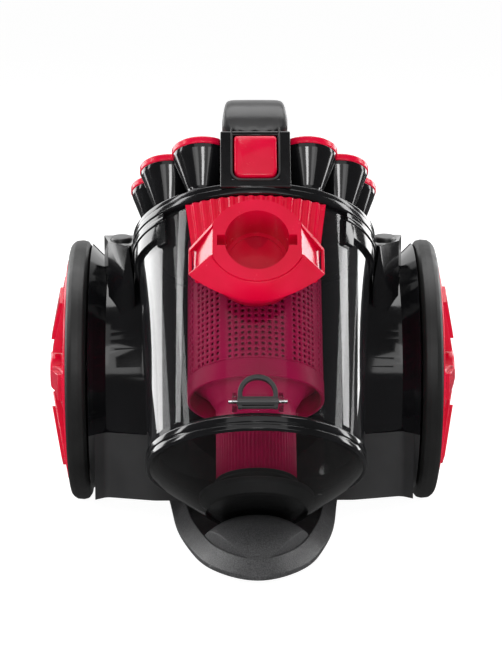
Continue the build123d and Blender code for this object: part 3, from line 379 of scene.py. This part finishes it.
def make_hub(side, word):
    """Hub cap: rim, six raised tapered spokes over recessed flats, and a boss."""
    def ring(x, radius, angle):
        return axle_ring(radius, side * x, angle)

    dish = rounded([
        (123.0, 83.6, 0), (130.6, 83.6, 1.5), (133.6, 81.6, 1.2), (133.8, 79.2, 0.8), (131.4, 78.2, 0.6),
        (132.0, 74.0, 0.5), (139.3, 15.0, 0.5), (145.8, 14.6, 0.5), (147.4, 12.8, 1.2), (147.4, 5.0, 1.5),
        (146.2, 3.4, 1), (146.2, 0.0, 0), (123.0, 0.0, 0)])
    parts = [lathe(dish, ring, 144)]

    def spoke_place(angle):
        turn = math.radians(angle)

        def place(across, radius, x):
            swirl = turn + math.radians(SPOKE_SWIRL) * (1.0 - radius / 80.0)
            y = radius * math.sin(swirl) + across * math.cos(swirl)
            z = radius * math.cos(swirl) - across * math.sin(swirl)
            return AXLE + Vector((side * x, y, z)) * MM
        return place

    for k in range(SPOKES):
        place = spoke_place(360.0 / SPOKES * k + 30.0)
        rings = []
        for share in (0.0, 0.25, 0.5, 0.75, 1.0):
            radius = SPOKE_ROOT + share * SPOKE_LENGTH
            half = 4.6 + share * 8.6
            top = 145.6 - share * 11.4
            low = 138.0 - share * 8.0
            rings.append([place(-half - 1.2, radius, low), place(half + 1.2, radius, low),
                          place(half, radius, top - 0.6), place(half - 0.9, radius, top),
                          place(-half + 0.9, radius, top), place(-half, radius, top - 0.6)])
        parts.append(loft(rings))
        panel = [[place(-half, radius, top), place(half, radius, top),
                  place(half, radius, low), place(-half, radius, low)]
                 for radius, half, top, low in ((30.0, 3.6, 145.9, 142.0), (70.0, 9.4, 138.0, 134.0))]
        parts.append(loft(panel))
    mesh = mesh_of(parts)
    obj = place_piece(mesh, word + "_hub_cover", "red_gloss", word + "_wheel",
                      (word + "_hub_cap",), 25.0)
    bevel(obj, 0.35, 1, 40.0)


for side, word in ((-1, "right"), (1, "left")):
    make_tyre(side, word)
    make_hub(side, word)


# ---- clear tube, lid and latch ------------------------------------------------------------
TUBE_FOOT, TUBE_LENGTH = 41.0, 152.0
TUBE_FOOT_RADIUS, TUBE_WIDENING = 71.5, 9.4
LATCH_PIVOT = (-78.0, 47.5)     # to the rear of the bin's axis (negative is in front of it) and up it
LATCH_PIN_RADIUS = 2.6


def tube_radius(height):
    """Outer radius of the clear tube at a height on the bin's axis."""
    return TUBE_FOOT_RADIUS + (height - TUBE_FOOT) / TUBE_LENGTH * TUBE_WIDENING


def bin_lathe(outline, steps=144, start=0.0, end=360.0):
    """A (radius, height) outline turned round the bin's axis."""
    return lathe(outline, bin_ring, steps, start, end)


def bin_side(back, height, across):
    """Places a side outline (to the rear, up) at a distance across."""
    return bin_point(across, back, height)


def bin_front(across, height, forward):
    """Places a front outline (across, up) at a distance in front of the bin's axis."""
    return bin_point(across, -forward, height)


def make_tube():
    """Clear tube, with the lugs that carry the latch in front and the lid's hinge behind."""
    wall = rounded([(69.0, 41.0, 0.3), (71.5, 41.0, 0.3), (72.6, 44.0, 1), (tube_radius(193), 193.0, 0.3),
                    (tube_radius(193) - 2.5, 193.0, 0.3)])
    mesh = mesh_of([bin_lathe(wall)])
    place_piece(mesh, "clear_tube", "clear_smoke", "bin", ("bin_tube",))
    lugs = []
    for side in (-1, 1):
        outline = rounded([(-69.5, 43.5, 0), (-79.0, 44.2, 1.5), (-80.6, 46.0, 1.5), (-80.4, 50.0, 1.5),
                           (-77.0, 52.4, 2), (-70.2, 57.0, 0)])
        lugs.append(prism(outline, bin_side, side * 13.3, side * 16.4))
        back = rounded([(69.6, 46.5, 0), (74.9, 43.0, 1), (76.0, 39.8, 1.5), (79.2, 40.0, 1.5),
                        (80.4, 43.0, 1.5), (70.4, 56.0, 0)])
        lugs.append(prism(back, bin_side, side * 10.5, side * 14.0))
    obj = place_piece(mesh_of(lugs), "tube_lugs", "lid_smoke", "bin")
    bevel(obj, 0.4)


def make_lid():
    """Lid: grooved rim with its hinge leaf, smoked bowl, and the dark plate seen through it."""
    ring = rounded([(71.5, 30.0, 0), (72.8, 29.6, 0.6), (74.0, 31.0, 0.8), (74.0, 33.6, 0.3),
                    (73.3, 34.2, 0.3), (73.3, 35.4, 0.3), (74.0, 36.0, 0.3), (74.0, 39.6, 0.8),
                    (72.6, 40.5, 0.6), (69.0, 40.5, 0), (69.0, 34.0, 0), (71.5, 34.0, 0)])
    hinge = rounded([(70.5, 32.5, 0), (72.0, 39.8, 1), (76.2, 44.6, 1.5), (79.6, 44.2, 2), (80.4, 41.2, 2)])
    parts = [bin_lathe(ring), prism(hinge, bin_side, -10.0, 10.0)]
    place_piece(mesh_of(parts), "lid_rim", "body_gloss", "bin_lid", ("lid_ring",))
    cone = rounded([(0.0, 2.5, 0), (32.8, 2.5, 1.5), (41.0, 8.9, 1), (62.4, 24.7, 5), (69.0, 31.0, 1),
                    (69.0, 34.0, 0), (71.5, 34.0, 0), (71.5, 30.0, 1), (64.0, 23.0, 5), (42.4, 6.6, 1),
                    (34.0, 0.0, 1.5), (0.0, 0.0, 0)])
    place_piece(mesh_of([bin_lathe(cone)]), "lid_bowl", "lid_smoke", "bin_lid", ("lid_cone",))
    base = rounded([(0.0, 3.0, 0), (31.6, 3.0, 0.5), (38.4, 8.2, 0.6), (38.4, 11.8, 0.8), (35.6, 12.6, 0.6),
                    (34.4, 10.0, 0.5), (29.6, 6.4, 0.5), (29.6, 13.2, 0.5), (0.0, 13.2, 0)])
    place_piece(mesh_of([bin_lathe(base)]), "lid_base_plate", "black_satin", "bin_lid")


def make_latch():
    """Black loop over a cross bar, with a ribbed grip below it."""
    def arch(half, low, spring, top):
        crown = [(half * math.cos(math.radians(a)), spring + (top - spring) * math.sin(math.radians(a)))
                 for a in range(0, 181, 9)]
        return [(half, low)] + crown + [(-half, low)]
    obj = place_piece(mesh_of([prism(arch(12.9, 49.0, 53.0, 66.4), bin_front, 75.4, 79.0)]),
                      "latch_loop", "black_satin", "latch", ("bin_latch",))
    cut(obj, [prism(arch(9.9, 51.0, 53.4, 63.2), bin_front, 70.0, 85.0)])
    bevel(obj, 0.7, 3)
    barrel = [(LATCH_PIVOT[0] + LATCH_PIN_RADIUS * math.cos(math.radians(a)),
               LATCH_PIVOT[1] + LATCH_PIN_RADIUS * math.sin(math.radians(a))) for a in range(0, 360, 20)]
    bars = [prism(barrel, bin_side, -13.2, 13.2)]
    for low in (43.2, 44.9):
        rib = rounded([(-10.5, low, 0.5), (10.5, low, 0.5),
                       (10.5, low + 1.1, 0.5), (-10.5, low + 1.1, 0.5)])
        bars.append(prism(rib, bin_front, 76.0, 79.2))
    for side in (-1, 1):
        leg = rounded([(side * 12.9, 43.0, 0.8), (side * 12.9, 50.0, 0.5), (side * 10.0, 50.0, 0.5),
                       (side * 10.0, 43.0, 0.8)])
        bars.append(prism(leg, bin_front, 75.6, 79.0))
    grip = place_piece(mesh_of(bars), "latch_grip", "black_satin", "latch")
    bevel(grip, 0.25)


make_tube()
make_lid()
make_latch()


# ---- inside the bin: perforated shroud and centre tube ------------------------------------
def make_shroud():
    """Cylinder with blocks of small round holes all round, a plain band below and a rim."""
    radius, hole_radius = 46.0, 1.15
    low_t, pitch_t, rows = 92.6, 4.0, 23
    columns = 64
    pitch_a = 360.0 / columns
    degrees_per_radian = 57.3
    points, faces = [], []

    def add(angle, t):
        points.append(bin_ring(radius, t, angle))
        return len(points) - 1

    for col in range(columns):
        blank = (col - 5) % 16 in (0, 6)
        for row in range(rows):
            a0, t0 = (col - 0.5) * pitch_a, low_t + row * pitch_t
            corners = [(a0, t0), (a0 + pitch_a / 2, t0), (a0 + pitch_a, t0), (a0 + pitch_a, t0 + pitch_t / 2),
                       (a0 + pitch_a, t0 + pitch_t), (a0 + pitch_a / 2, t0 + pitch_t), (a0, t0 + pitch_t),
                       (a0, t0 + pitch_t / 2)]
            outer = [add(a, t) for a, t in corners]
            if blank:
                faces.append(tuple(outer))
                continue
            ca, ct = a0 + pitch_a / 2, t0 + pitch_t / 2
            hole = []
            for k in range(8):
                turn = math.radians(225 + 45 * k)
                hole.append(add(ca + hole_radius * math.cos(turn) / radius * degrees_per_radian,
                                ct + hole_radius * math.sin(turn)))
            faces += [(outer[k], outer[(k + 1) % 8], hole[(k + 1) % 8], hole[k]) for k in range(8)]
    screen = place_piece(mesh_of([(points, faces)]), "shroud_screen", "shroud_red", "bin",
                         ("shroud_filter",), 60.0)
    thick = screen.modifiers.new("wall", "SOLIDIFY")
    thick.thickness = 1.2 * MM
    thick.offset = -1.0
    top_t = low_t + rows * pitch_t
    skirt = rounded([(46.4, 79.5, 0.6), (46.4, 91.6, 0.4), (45.8, 92.6, 0.2), (44.2, 92.6, 0.2),
                     (44.2, 79.5, 0.6)])
    head = rounded([(46.0, top_t, 0), (46.0, 198.0, 0.5), (44.2, 198.0, 0.5), (44.2, top_t, 0)])
    place_piece(mesh_of([bin_lathe(skirt), bin_lathe(head)]), "shroud_bands", "shroud_red", "bin")


def make_centre():
    """Collector tube: flared into the shroud at its top, finely ribbed near its foot."""
    flare = rounded([(25.0, 56.0, 0), (27.0, 56.0, 0), (27.0, 74.0, 3), (33.5, 85.0, 3),
                     (44.0, 93.0, 1), (44.0, 95.0, 0), (32.0, 87.0, 3), (25.0, 75.0, 3)])
    rim = rounded([(25.0, 21.0, 0), (26.4, 21.0, 0.4), (26.4, 23.0, 0), (25.0, 23.0, 0)])
    parts = [bin_lathe(flare), bin_lathe(rim)]
    ribs, rib_height = 66, 0.55
    points, faces = [], []
    columns = ribs * 4
    for t in (22.0, 23.5, 56.0, 57.0):
        for k in range(columns):
            lift = rib_height if k % 4 in (0, 1) and 23.0 < t < 56.5 else 0.0
            points.append(bin_ring(26.3 + lift, t, 360.0 * k / columns))
    for level in range(3):
        a, b = level * columns, (level + 1) * columns
        faces += [(a + k, a + (k + 1) % columns, b + (k + 1) % columns, b + k) for k in range(columns)]
    parts.append((points, faces))
    place_piece(mesh_of(parts), "collector_tube_ribbed", "shroud_red", "bin",
                ("dust_collector_tube", "collector_flare"), 25.0)
    seal = rounded([(24.0, 14.0, 0.5), (28.0, 14.0, 1), (28.4, 18.0, 0.5), (27.6, 19.0, 0.5),
                    (28.0, 21.6, 0.8), (24.0, 21.6, 0.5)])
    place_piece(mesh_of([bin_lathe(seal)]), "collector_foot_seal", "seal_rubber", "bin",
                ("collector_seal",))


make_shroud()
make_centre()


# ---- inlet port ---------------------------------------------------------------------------
PORT_T = 146.0          # height of the socket's axis up the bin's axis
PORT_FACE = 112.0       # distance of the socket's face in front of the bin's axis
PORT_HALF = 29.5        # half width of the face
PORT_ARC = 32.3         # radius of the face's upper and lower edges
BORE_RADIUS, INNER_RADIUS = 21.0, 18.4
NOTCH_REACH, NOTCH_HALF = 25.8, 3.7
VISOR_THICKNESS = 2.6


def port_circle(radius, step):
    """Outline of a circle round the socket's axis, with a point every step degrees."""
    return [(radius * math.cos(math.radians(a)), PORT_T + radius * math.sin(math.radians(a)))
            for a in range(0, 360, step)]


def make_port():
    """Hose socket: eight-sided face, bayonet notches, stepped bore, side fins and a lower visor."""
    upper_arc = arc(0.0, PORT_T - 3.3, PORT_ARC, 28.8, 151.2, 20)
    lower_arc = arc(0.0, PORT_T + 3.3, PORT_ARC, 208.8, 331.2, 20)
    face = [(min(PORT_HALF, max(-PORT_HALF, x)), t) for x, t in upper_arc + lower_arc]
    core = place_piece(mesh_of([prism(face, bin_front, 72.0, PORT_FACE)]), "port_socket", "red_gloss",
                       "bin", ("inlet_port",))
    cut(core, [prism(port_circle(BORE_RADIUS, 5), bin_front, 80.0, 120.0)])
    cut(core, [prism(port_circle(INNER_RADIUS, 5), bin_front, 78.8, 80.6)])
    notch = [(-NOTCH_REACH, PORT_T - NOTCH_HALF), (NOTCH_REACH, PORT_T - NOTCH_HALF),
             (NOTCH_REACH, PORT_T + NOTCH_HALF), (-NOTCH_REACH, PORT_T + NOTCH_HALF)]
    cut(core, [prism(notch, bin_front, 96.0, 120.0)])
    bevel(core, 0.6, 2, 40.0)

    bow_way = -UP * 0.35 - BACK * 0.65

    def plate_between(front, rear):
        """Curved plate between a front line and a rear line, given as world points."""
        rings = []
        for share in (0.0, 0.2, 0.4, 0.6, 0.8, 1.0):
            bow = math.sin(share * math.pi) * 0.9 * MM
            rings.append([f.lerp(r, share) + bow_way * bow for f, r in zip(front, rear)])
        points = [p for line in rings for p in line]
        count = len(rings[0])
        faces = [(k * count + i, k * count + i + 1, (k + 1) * count + i + 1, (k + 1) * count + i)
                 for k in range(len(rings) - 1) for i in range(count - 1)]
        return mesh_of([(points, faces)])

    front, rear = [], []
    steps = 28
    for k in range(steps + 1):
        share = k / steps
        angle = 180.0 + 180.0 * share
        x = PORT_HALF * math.cos(math.radians(angle))
        x = max(-29.4, min(29.4, x * 1.04))
        drop = 3.6 - math.sqrt(PORT_ARC ** 2 - x * x)
        front.append(bin_front(x, PORT_T + drop, PORT_FACE - 1.4))
        rear_x = -44.0 + 88.0 * share
        rear_t = 136.0 - 24.0 * math.sin(math.pi * share) ** 0.85
        reach = math.sqrt(max(0.0, 93.0 ** 2 - rear_x ** 2))
        rear.append(bin_front(rear_x, rear_t, reach + 0.4))
    visor = place_piece(plate_between(front, rear), "port_visor", "red_gloss", "bin", sharp=40.0)
    solid = visor.modifiers.new("wall", "SOLIDIFY")
    solid.thickness = VISOR_THICKNESS * MM
    solid.offset = 0.0
    bevel(visor, 0.5, 2, 50.0)

    fins = []
    for side in (-1, 1):
        def fin_point(x, forward, t, s=side):
            return bin_front(s * x, t, forward)
        top_front, top_rear = fin_point(28.8, 110.4, 159.0), fin_point(44.6, 83.0, 153.6)
        root = fin_point(28.8, 80.0, 160.0)
        down = -UP * 2.8 * MM
        plate = [top_front, top_rear, root]
        fins.append(loft([plate, [p + down for p in plate]]))
        flank_front = [fin_point(28.6, 109.5, 158.0), fin_point(28.6, 109.5, 135.0)]
        flank_rear = [fin_point(40.6, 82.0, 153.0), fin_point(41.2, 82.0, 137.0)]
        inset = SIDE * side * -2.4 * MM
        quad = [flank_front[0], flank_rear[0], flank_rear[1], flank_front[1]]
        fins.append(loft([quad, [p + inset for p in quad]]))
        post = [fin_point(44.4, 84.4, 153.0), fin_point(44.4, 82.0, 153.0), fin_point(44.4, 82.0, 135.0),
                fin_point(44.4, 84.4, 135.0)]
        fins.append(loft([post, [p + SIDE * side * -2.2 * MM for p in post]]))
    wings = place_piece(mesh_of(fins), "port_wings", "red_gloss", "bin")
    bevel(wings, 0.5, 2, 40.0)


def make_shield():
    """Corrugated red shield behind the socket, wider at its top."""
    points, faces = [], []
    levels = [(136.0, 30.0), (146.0, 30.4), (160.0, 31.2), (176.0, 32.4), (192.4, 33.8)]
    columns = 168
    waves_per_half, wave_height = 7.5, 1.3
    for skin in (0, 1):
        for t, half in levels:
            for k in range(columns + 1):
                angle = -half + 2 * half * k / columns
                wave = (angle / half * waves_per_half) % 1.0
                rise = wave_height * min(1.0, max(0.0, 3.2 * (0.5 - abs(wave - 0.5)) - 0.25))
                radius = tube_radius(t) + (0.9 + rise + 1.2 if skin == 0 else 0.5)
                points.append(bin_ring(radius, t, angle))
    row = columns + 1
    count = row * len(levels)
    for level in range(len(levels) - 1):
        for k in range(columns):
            a = level * row + k
            faces.append((a, a + 1, a + row + 1, a + row))
            faces.append((count + a, count + a + row, count + a + row + 1, count + a + 1))
    last = row * (len(levels) - 1)
    for k in range(columns):
        faces.append((k, count + k, count + k + 1, k + 1))
        faces.append((last + k, last + k + 1, count + last + k + 1, count + last + k))
    for level in range(len(levels) - 1):
        for edge in (0, columns):
            a = level * row + edge
            faces.append((a, a + row, count + a + row, count + a))
    shield = place_piece(mesh_of([(points, faces)]), "port_ribbed_shield", "red_gloss", "bin", sharp=22.0)
    cut(shield, [prism(port_circle(24.0, 8), bin_front, 60.0, 120.0)])


make_port()
make_shield()


# ---- collar and cyclone crown -------------------------------------------------------------
CYCLONE_ANGLES = (33.0, 63.0, 90.0, 120.0, 150.0, -33.0, -63.0, -90.0, -120.0, -150.0)
CYCLONE_CIRCLE = 65.0   # distance of the cyclones' axes from the bin's


def make_collar():
    """Collar: a flange, a skirt and lip that are open at the front, and a hook at each end."""
    flange = rounded([(79.0, 193.4, 0), (83.6, 193.4, 0.5), (84.4, 194.4, 0.8), (84.4, 198.4, 0.4),
                      (79.0, 198.4, 0)])
    skirt = rounded([(tube_radius(177.0) + 0.1, 177.4, 0.3), (82.9, 177.4, 0.8), (84.0, 193.4, 0.3),
                     (tube_radius(193.0) + 0.1, 193.4, 0)])
    lip = rounded([(82.4, 187.0, 0.2), (84.4, 187.0, 0.7), (84.4, 190.6, 0.7), (82.4, 190.6, 0.2)])
    hooks = []
    for side in (-1, 1):
        hook = rounded([(tube_radius(172.0) + 0.1, 171.0, 0.3), (82.6, 171.0, 0.8), (83.6, 188.0, 0.3),
                        (tube_radius(188.0) + 0.1, 188.0, 0)])
        hooks.append(bin_lathe(hook, 8, side * 47.0, side * 53.0))
    parts = [bin_lathe(flange), bin_lathe(skirt, 108, 47.5, 312.5), bin_lathe(lip, 108, 47.5, 312.5)] + hooks
    obj = place_piece(mesh_of(parts), "collar_ring", "body_gloss", "bin", ("bin_collar",))
    bevel(obj, 0.4)


def make_crown():
    """Deck over the bin, with ten small cyclones that widen upward and a web inward from each."""
    deck = rounded([(0.0, 198.5, 0), (84.0, 198.5, 0.4), (84.0, 202.0, 1.0), (82.6, 203.0, 0.6),
                    (0.0, 203.0, 0)])
    parts = [bin_lathe(deck)]
    profile = rounded([(0.0, 202.6, 0), (13.2, 202.6, 0), (13.2, 206.4, 0.8), (10.4, 207.4, 1.0),
                       (10.6, 210.0, 1.5), (19.8, 234.4, 3.0), (20.4, 237.0, 0.3), (0.0, 237.0, 0)])
    for angle in CYCLONE_ANGLES:
        turn = math.radians(angle)
        cx, cp = CYCLONE_CIRCLE * math.sin(turn), -CYCLONE_CIRCLE * math.cos(turn)

        def ring(radius, height, a, cx=cx, cp=cp):
            return bin_point(cx + radius * math.sin(math.radians(a)),
                             cp - radius * math.cos(math.radians(a)), height)
        parts.append(lathe(profile, ring, 48))
        web = rounded([(-2.0, 203.0, 0), (-2.0, 232.0, 0), (2.0, 232.0, 0), (2.0, 203.0, 0)])
        inward = Vector((-math.sin(turn), math.cos(turn)))

        def web_place(u, t, w, cx=cx, cp=cp, n=inward):
            return bin_point(cx + n.x * w - n.y * u, cp + n.y * w + n.x * u, t)
        parts.append(prism(web, web_place, 6.0, 40.0))
    place_piece(mesh_of(parts), "cyclone_cones", "body_gloss", "bin", ("cyclone_body",), 30.0)


make_collar()
make_crown()
refined("cyclone_cover", 1.0, 3)


# ---- handle -------------------------------------------------------------------------------
def make_handle():
    """Rounded grip arch that narrows upward, and the framed front post round the key."""
    outline = [(-83.6, 239.6), (-83.0, 254.0), (-77.0, 267.0), (-66.0, 275.2), (-55.0, 281.6), (-30.0, 283.0),
               (10.0, 282.6), (42.0, 281.6), (62.0, 277.0), (75.0, 268.0), (81.0, 256.0), (82.0, 239.6)]
    inner = [(-58.0, 239.6), (-57.6, 250.0), (-54.0, 258.0), (-47.0, 265.0), (-38.0, 268.4), (-26.0, 269.0),
             (10.0, 269.0), (34.0, 268.6), (45.0, 265.6), (54.0, 259.0), (60.0, 251.0), (62.0, 239.6)]
    rings = []
    for (po, to), (pi, ti) in zip(outline, inner):
        half = 23.3 - 4.2 * max(0.0, min(1.0, (to - 241.0) / 41.0)) ** 1.15
        mid_p, mid_t = (po + pi) / 2, (to + ti) / 2
        section = []
        for k in range(32):
            turn = 2 * math.pi * k / 32
            c, s = math.cos(turn), math.sin(turn)
            across = half * math.copysign(abs(c) ** 0.26, c)
            share = math.copysign(abs(s) ** 0.3, s)
            p = mid_p + (po - mid_p) * share
            t = mid_t + (to - mid_t) * share
            section.append(bin_point(across, p, t))
        rings.append(section)
    grip = place_piece(mesh_of([loft(rings)]), "grip_arch", "black_satin", "bin", ("handle_grip",), 50.0)
    smooth = grip.modifiers.new("round", "SUBSURF")
    smooth.levels = 1
    smooth.render_levels = 1

    frame_line = rounded([(-16.6, 243.5, 0), (-16.6, 203.6, 7.5), (16.6, 203.6, 7.5), (16.6, 243.5, 0),
                          (15.3, 243.5, 0), (15.3, 204.9, 6.4), (-15.3, 204.9, 6.4), (-15.3, 243.5, 0)], 6)
    trim = place_piece(mesh_of([prism(frame_line, bin_front, 80.0, 84.6)]), "key_frame",
                       "black_satin", "bin")
    bevel(trim, 0.35, 2)


make_handle()
refined("handle_front_post", 1.0, 3)
refined("handle_rear_post", 1.0, 3)


def make_release_key():
    """Red key in its frame, with a softened front edge."""
    half_width, half_height, middle = 14.3, 15.5, 221.5
    outline = rounded([(-half_width, middle + half_height, 2.6), (half_width, middle + half_height, 2.6),
                       (half_width, middle - half_height, 6.5), (-half_width, middle - half_height, 6.5)], 6)
    rings = []
    for forward, inset in ((74.6, 0.0), (83.8, 0.0), (84.9, 0.5), (85.5, 1.6)):
        rings.append([bin_point(u * (1 - inset / half_width), -forward,
                                middle + (v - middle) * (1 - inset / half_height)) for u, v in outline])
    place_piece(mesh_of([loft(rings)]), "release_key_cap", "red_gloss", "release_key",
                ("release_button",), 50.0)


make_release_key()


# ---- body mouldings and springs -----------------------------------------------------------
SHOULDER_EDGE = 0.35
KEY_EDGE = 0.25
refined("upper_shell", 0.7)
refined("lower_shell", 0.8, 2, "black_satin")
refined("left_shoulder", SHOULDER_EDGE, 2, merge=False)
refined("right_shoulder", SHOULDER_EDGE, 2, merge=False)
refined("power_button", KEY_EDGE, 2, "black_satin", merge=False)
refined("rewind_button", KEY_EDGE, 2, "black_satin", merge=False)
refined("front_bumper", 1.2, 3)
refined("chin_tray", 0.4, 2, "bumper_grey")
refined("exhaust_door", 0.4)
refined("cord_outlet", 0.4)
refined("caster_wheel", 0.5)
refined("caster_fork", 0.4)


def make_spring(node):
    """Small coil spring under a key, filling the box of its CAD part."""
    low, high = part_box(node)
    centre = Vector(((low[0] + high[0]) / 2, (low[1] + high[1]) / 2, 0.0))
    turns, steps, wire = 4, 20, 0.36        # wire is its radius in millimetres
    radius = (high[0] - low[0]) / 2 / MM - wire
    first, last = low[2] / MM + wire, high[2] / MM - wire
    rings = []
    for k in range(turns * steps + 1):
        turn = 2 * math.pi * k / steps
        height = first + (last - first) * min(1.0, max(0.0, (k / steps - 0.5) / (turns - 1.0)))
        rings.append([centre + Vector(((radius + wire * math.cos(a)) * math.cos(turn),
                                       (radius + wire * math.cos(a)) * math.sin(turn),
                                       height + wire * math.sin(a))) * MM
                      for a in [math.pi * j / 4 for j in range(8)]])
    coil = place_piece(mesh_of([loft(rings)]), node + "_coil", "steel", BODY_OF[node], (node,), 60.0)
    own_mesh(coil)


make_spring("power_button_spring")
make_spring("rewind_button_spring")


# ---- floor, light and camera --------------------------------------------------------------
def make_floor():
    """Wide pale floor. It is hidden from glossy rays, so that the black plastic doesn't mirror it."""
    size = 60.0
    mesh = bpy.data.meshes.new("floor")
    corners = [(-size, -size, 0), (size, -size, 0), (size, size, 0), (-size, size, 0)]
    mesh.from_pydata(corners, [], [(0, 1, 2, 3)])
    floor = bpy.data.objects.new("floor", mesh)
    bpy.context.scene.collection.objects.link(floor)
    material, nodes, links, shader = new_material("floor_pale")
    tone = noise(nodes, links, 3.0)
    links.new(ramp(nodes, links, tone.outputs["Fac"], 0.30, 0.32), shader.inputs["Base Color"])
    shader.inputs["Roughness"].default_value = 0.9
    shader.inputs["Specular IOR Level"].default_value = 0.1
    shader.inputs["Emission Color"].default_value = (1, 1, 1, 1)
    shader.inputs["Emission Strength"].default_value = 0.96
    mesh.materials.append(material)
    floor.visible_glossy = False


def area_light(name, place, aim, size_x, size_y, watts):
    """Rectangular light that shows in reflections and isn't seen by the camera."""
    lamp = bpy.data.lights.new(name, "AREA")
    lamp.shape = "RECTANGLE"
    lamp.size = size_x
    lamp.size_y = size_y
    lamp.energy = watts
    obj = bpy.data.objects.new(name, lamp)
    obj.location = place
    obj.rotation_euler = (Vector(aim) - Vector(place)).to_track_quat("-Z", "Y").to_euler()
    obj.visible_camera = False
    bpy.context.scene.collection.objects.link(obj)


MIDDLE = (0, 0, 0.15)
LIGHTS = (      # name, place, aim, width, height, watts
    ("softbox_left", (-1.05, 0.85, 0.50), MIDDLE, 0.75, 1.1, 11),
    ("softbox_right", (0.90, 1.00, 0.50), MIDDLE, 0.45, 1.1, 7),
    ("strip_left", (-1.34, 0.07, 0.80), MIDDLE, 0.16, 1.2, 4),
    ("strip_right", (1.27, 0.42, 0.60), MIDDLE, 0.24, 1.2, 5),
    ("softbox_top", (0, 0.5, 2.1), MIDDLE, 2.6, 1.6, 42),
    ("softbox_high_front", (0, -1.5, 1.32), MIDDLE, 2.2, 1.6, 7),
    ("card_left", (-0.75, -1.25, 0.62), (-0.1, 0, 0.12), 0.5, 0.75, 1.8),
    ("card_right", (0.75, -1.25, 0.62), (0.1, 0, 0.12), 0.5, 0.75, 1.8),
    ("softbox_back", (0, 2.6, 1.1), MIDDLE, 3.2, 1.8, 16),
    ("softbox_front", (0.0, -2.6, 1.2), MIDDLE, 0.5, 0.5, 9),
)


def make_lights():
    """Dim white world and the softboxes, strips and cards of a small studio."""
    world = bpy.data.worlds.new("studio")
    world.use_nodes = True
    background = world.node_tree.nodes["Background"]
    background.inputs["Color"].default_value = (1, 1, 1, 1)
    background.inputs["Strength"].default_value = 0.08
    bpy.context.scene.world = world
    for light in LIGHTS:
        area_light(*light)


def make_camera():
    """Camera in front of the axle, placed to match the photograph."""
    distance = 1.7
    elevation = math.radians(11.5)
    azimuth = math.radians(-0.9)
    above_axle = math.radians(0.8534)
    reach = distance * math.cos(elevation)
    place = AXLE + Vector((reach * math.sin(azimuth), -reach * math.cos(azimuth),
                           distance * math.sin(elevation)))
    data = bpy.data.cameras.new("camera")
    data.sensor_width = 36.0
    data.lens = 124.63
    data.shift_x = -0.0022
    camera = bpy.data.objects.new("camera", data)
    camera.location = place
    pitch = elevation - above_axle
    camera.rotation_euler = (math.radians(90) - pitch, 0, azimuth)
    bpy.context.scene.collection.objects.link(camera)
    bpy.context.scene.camera = camera


make_floor()
make_lights()
make_camera()
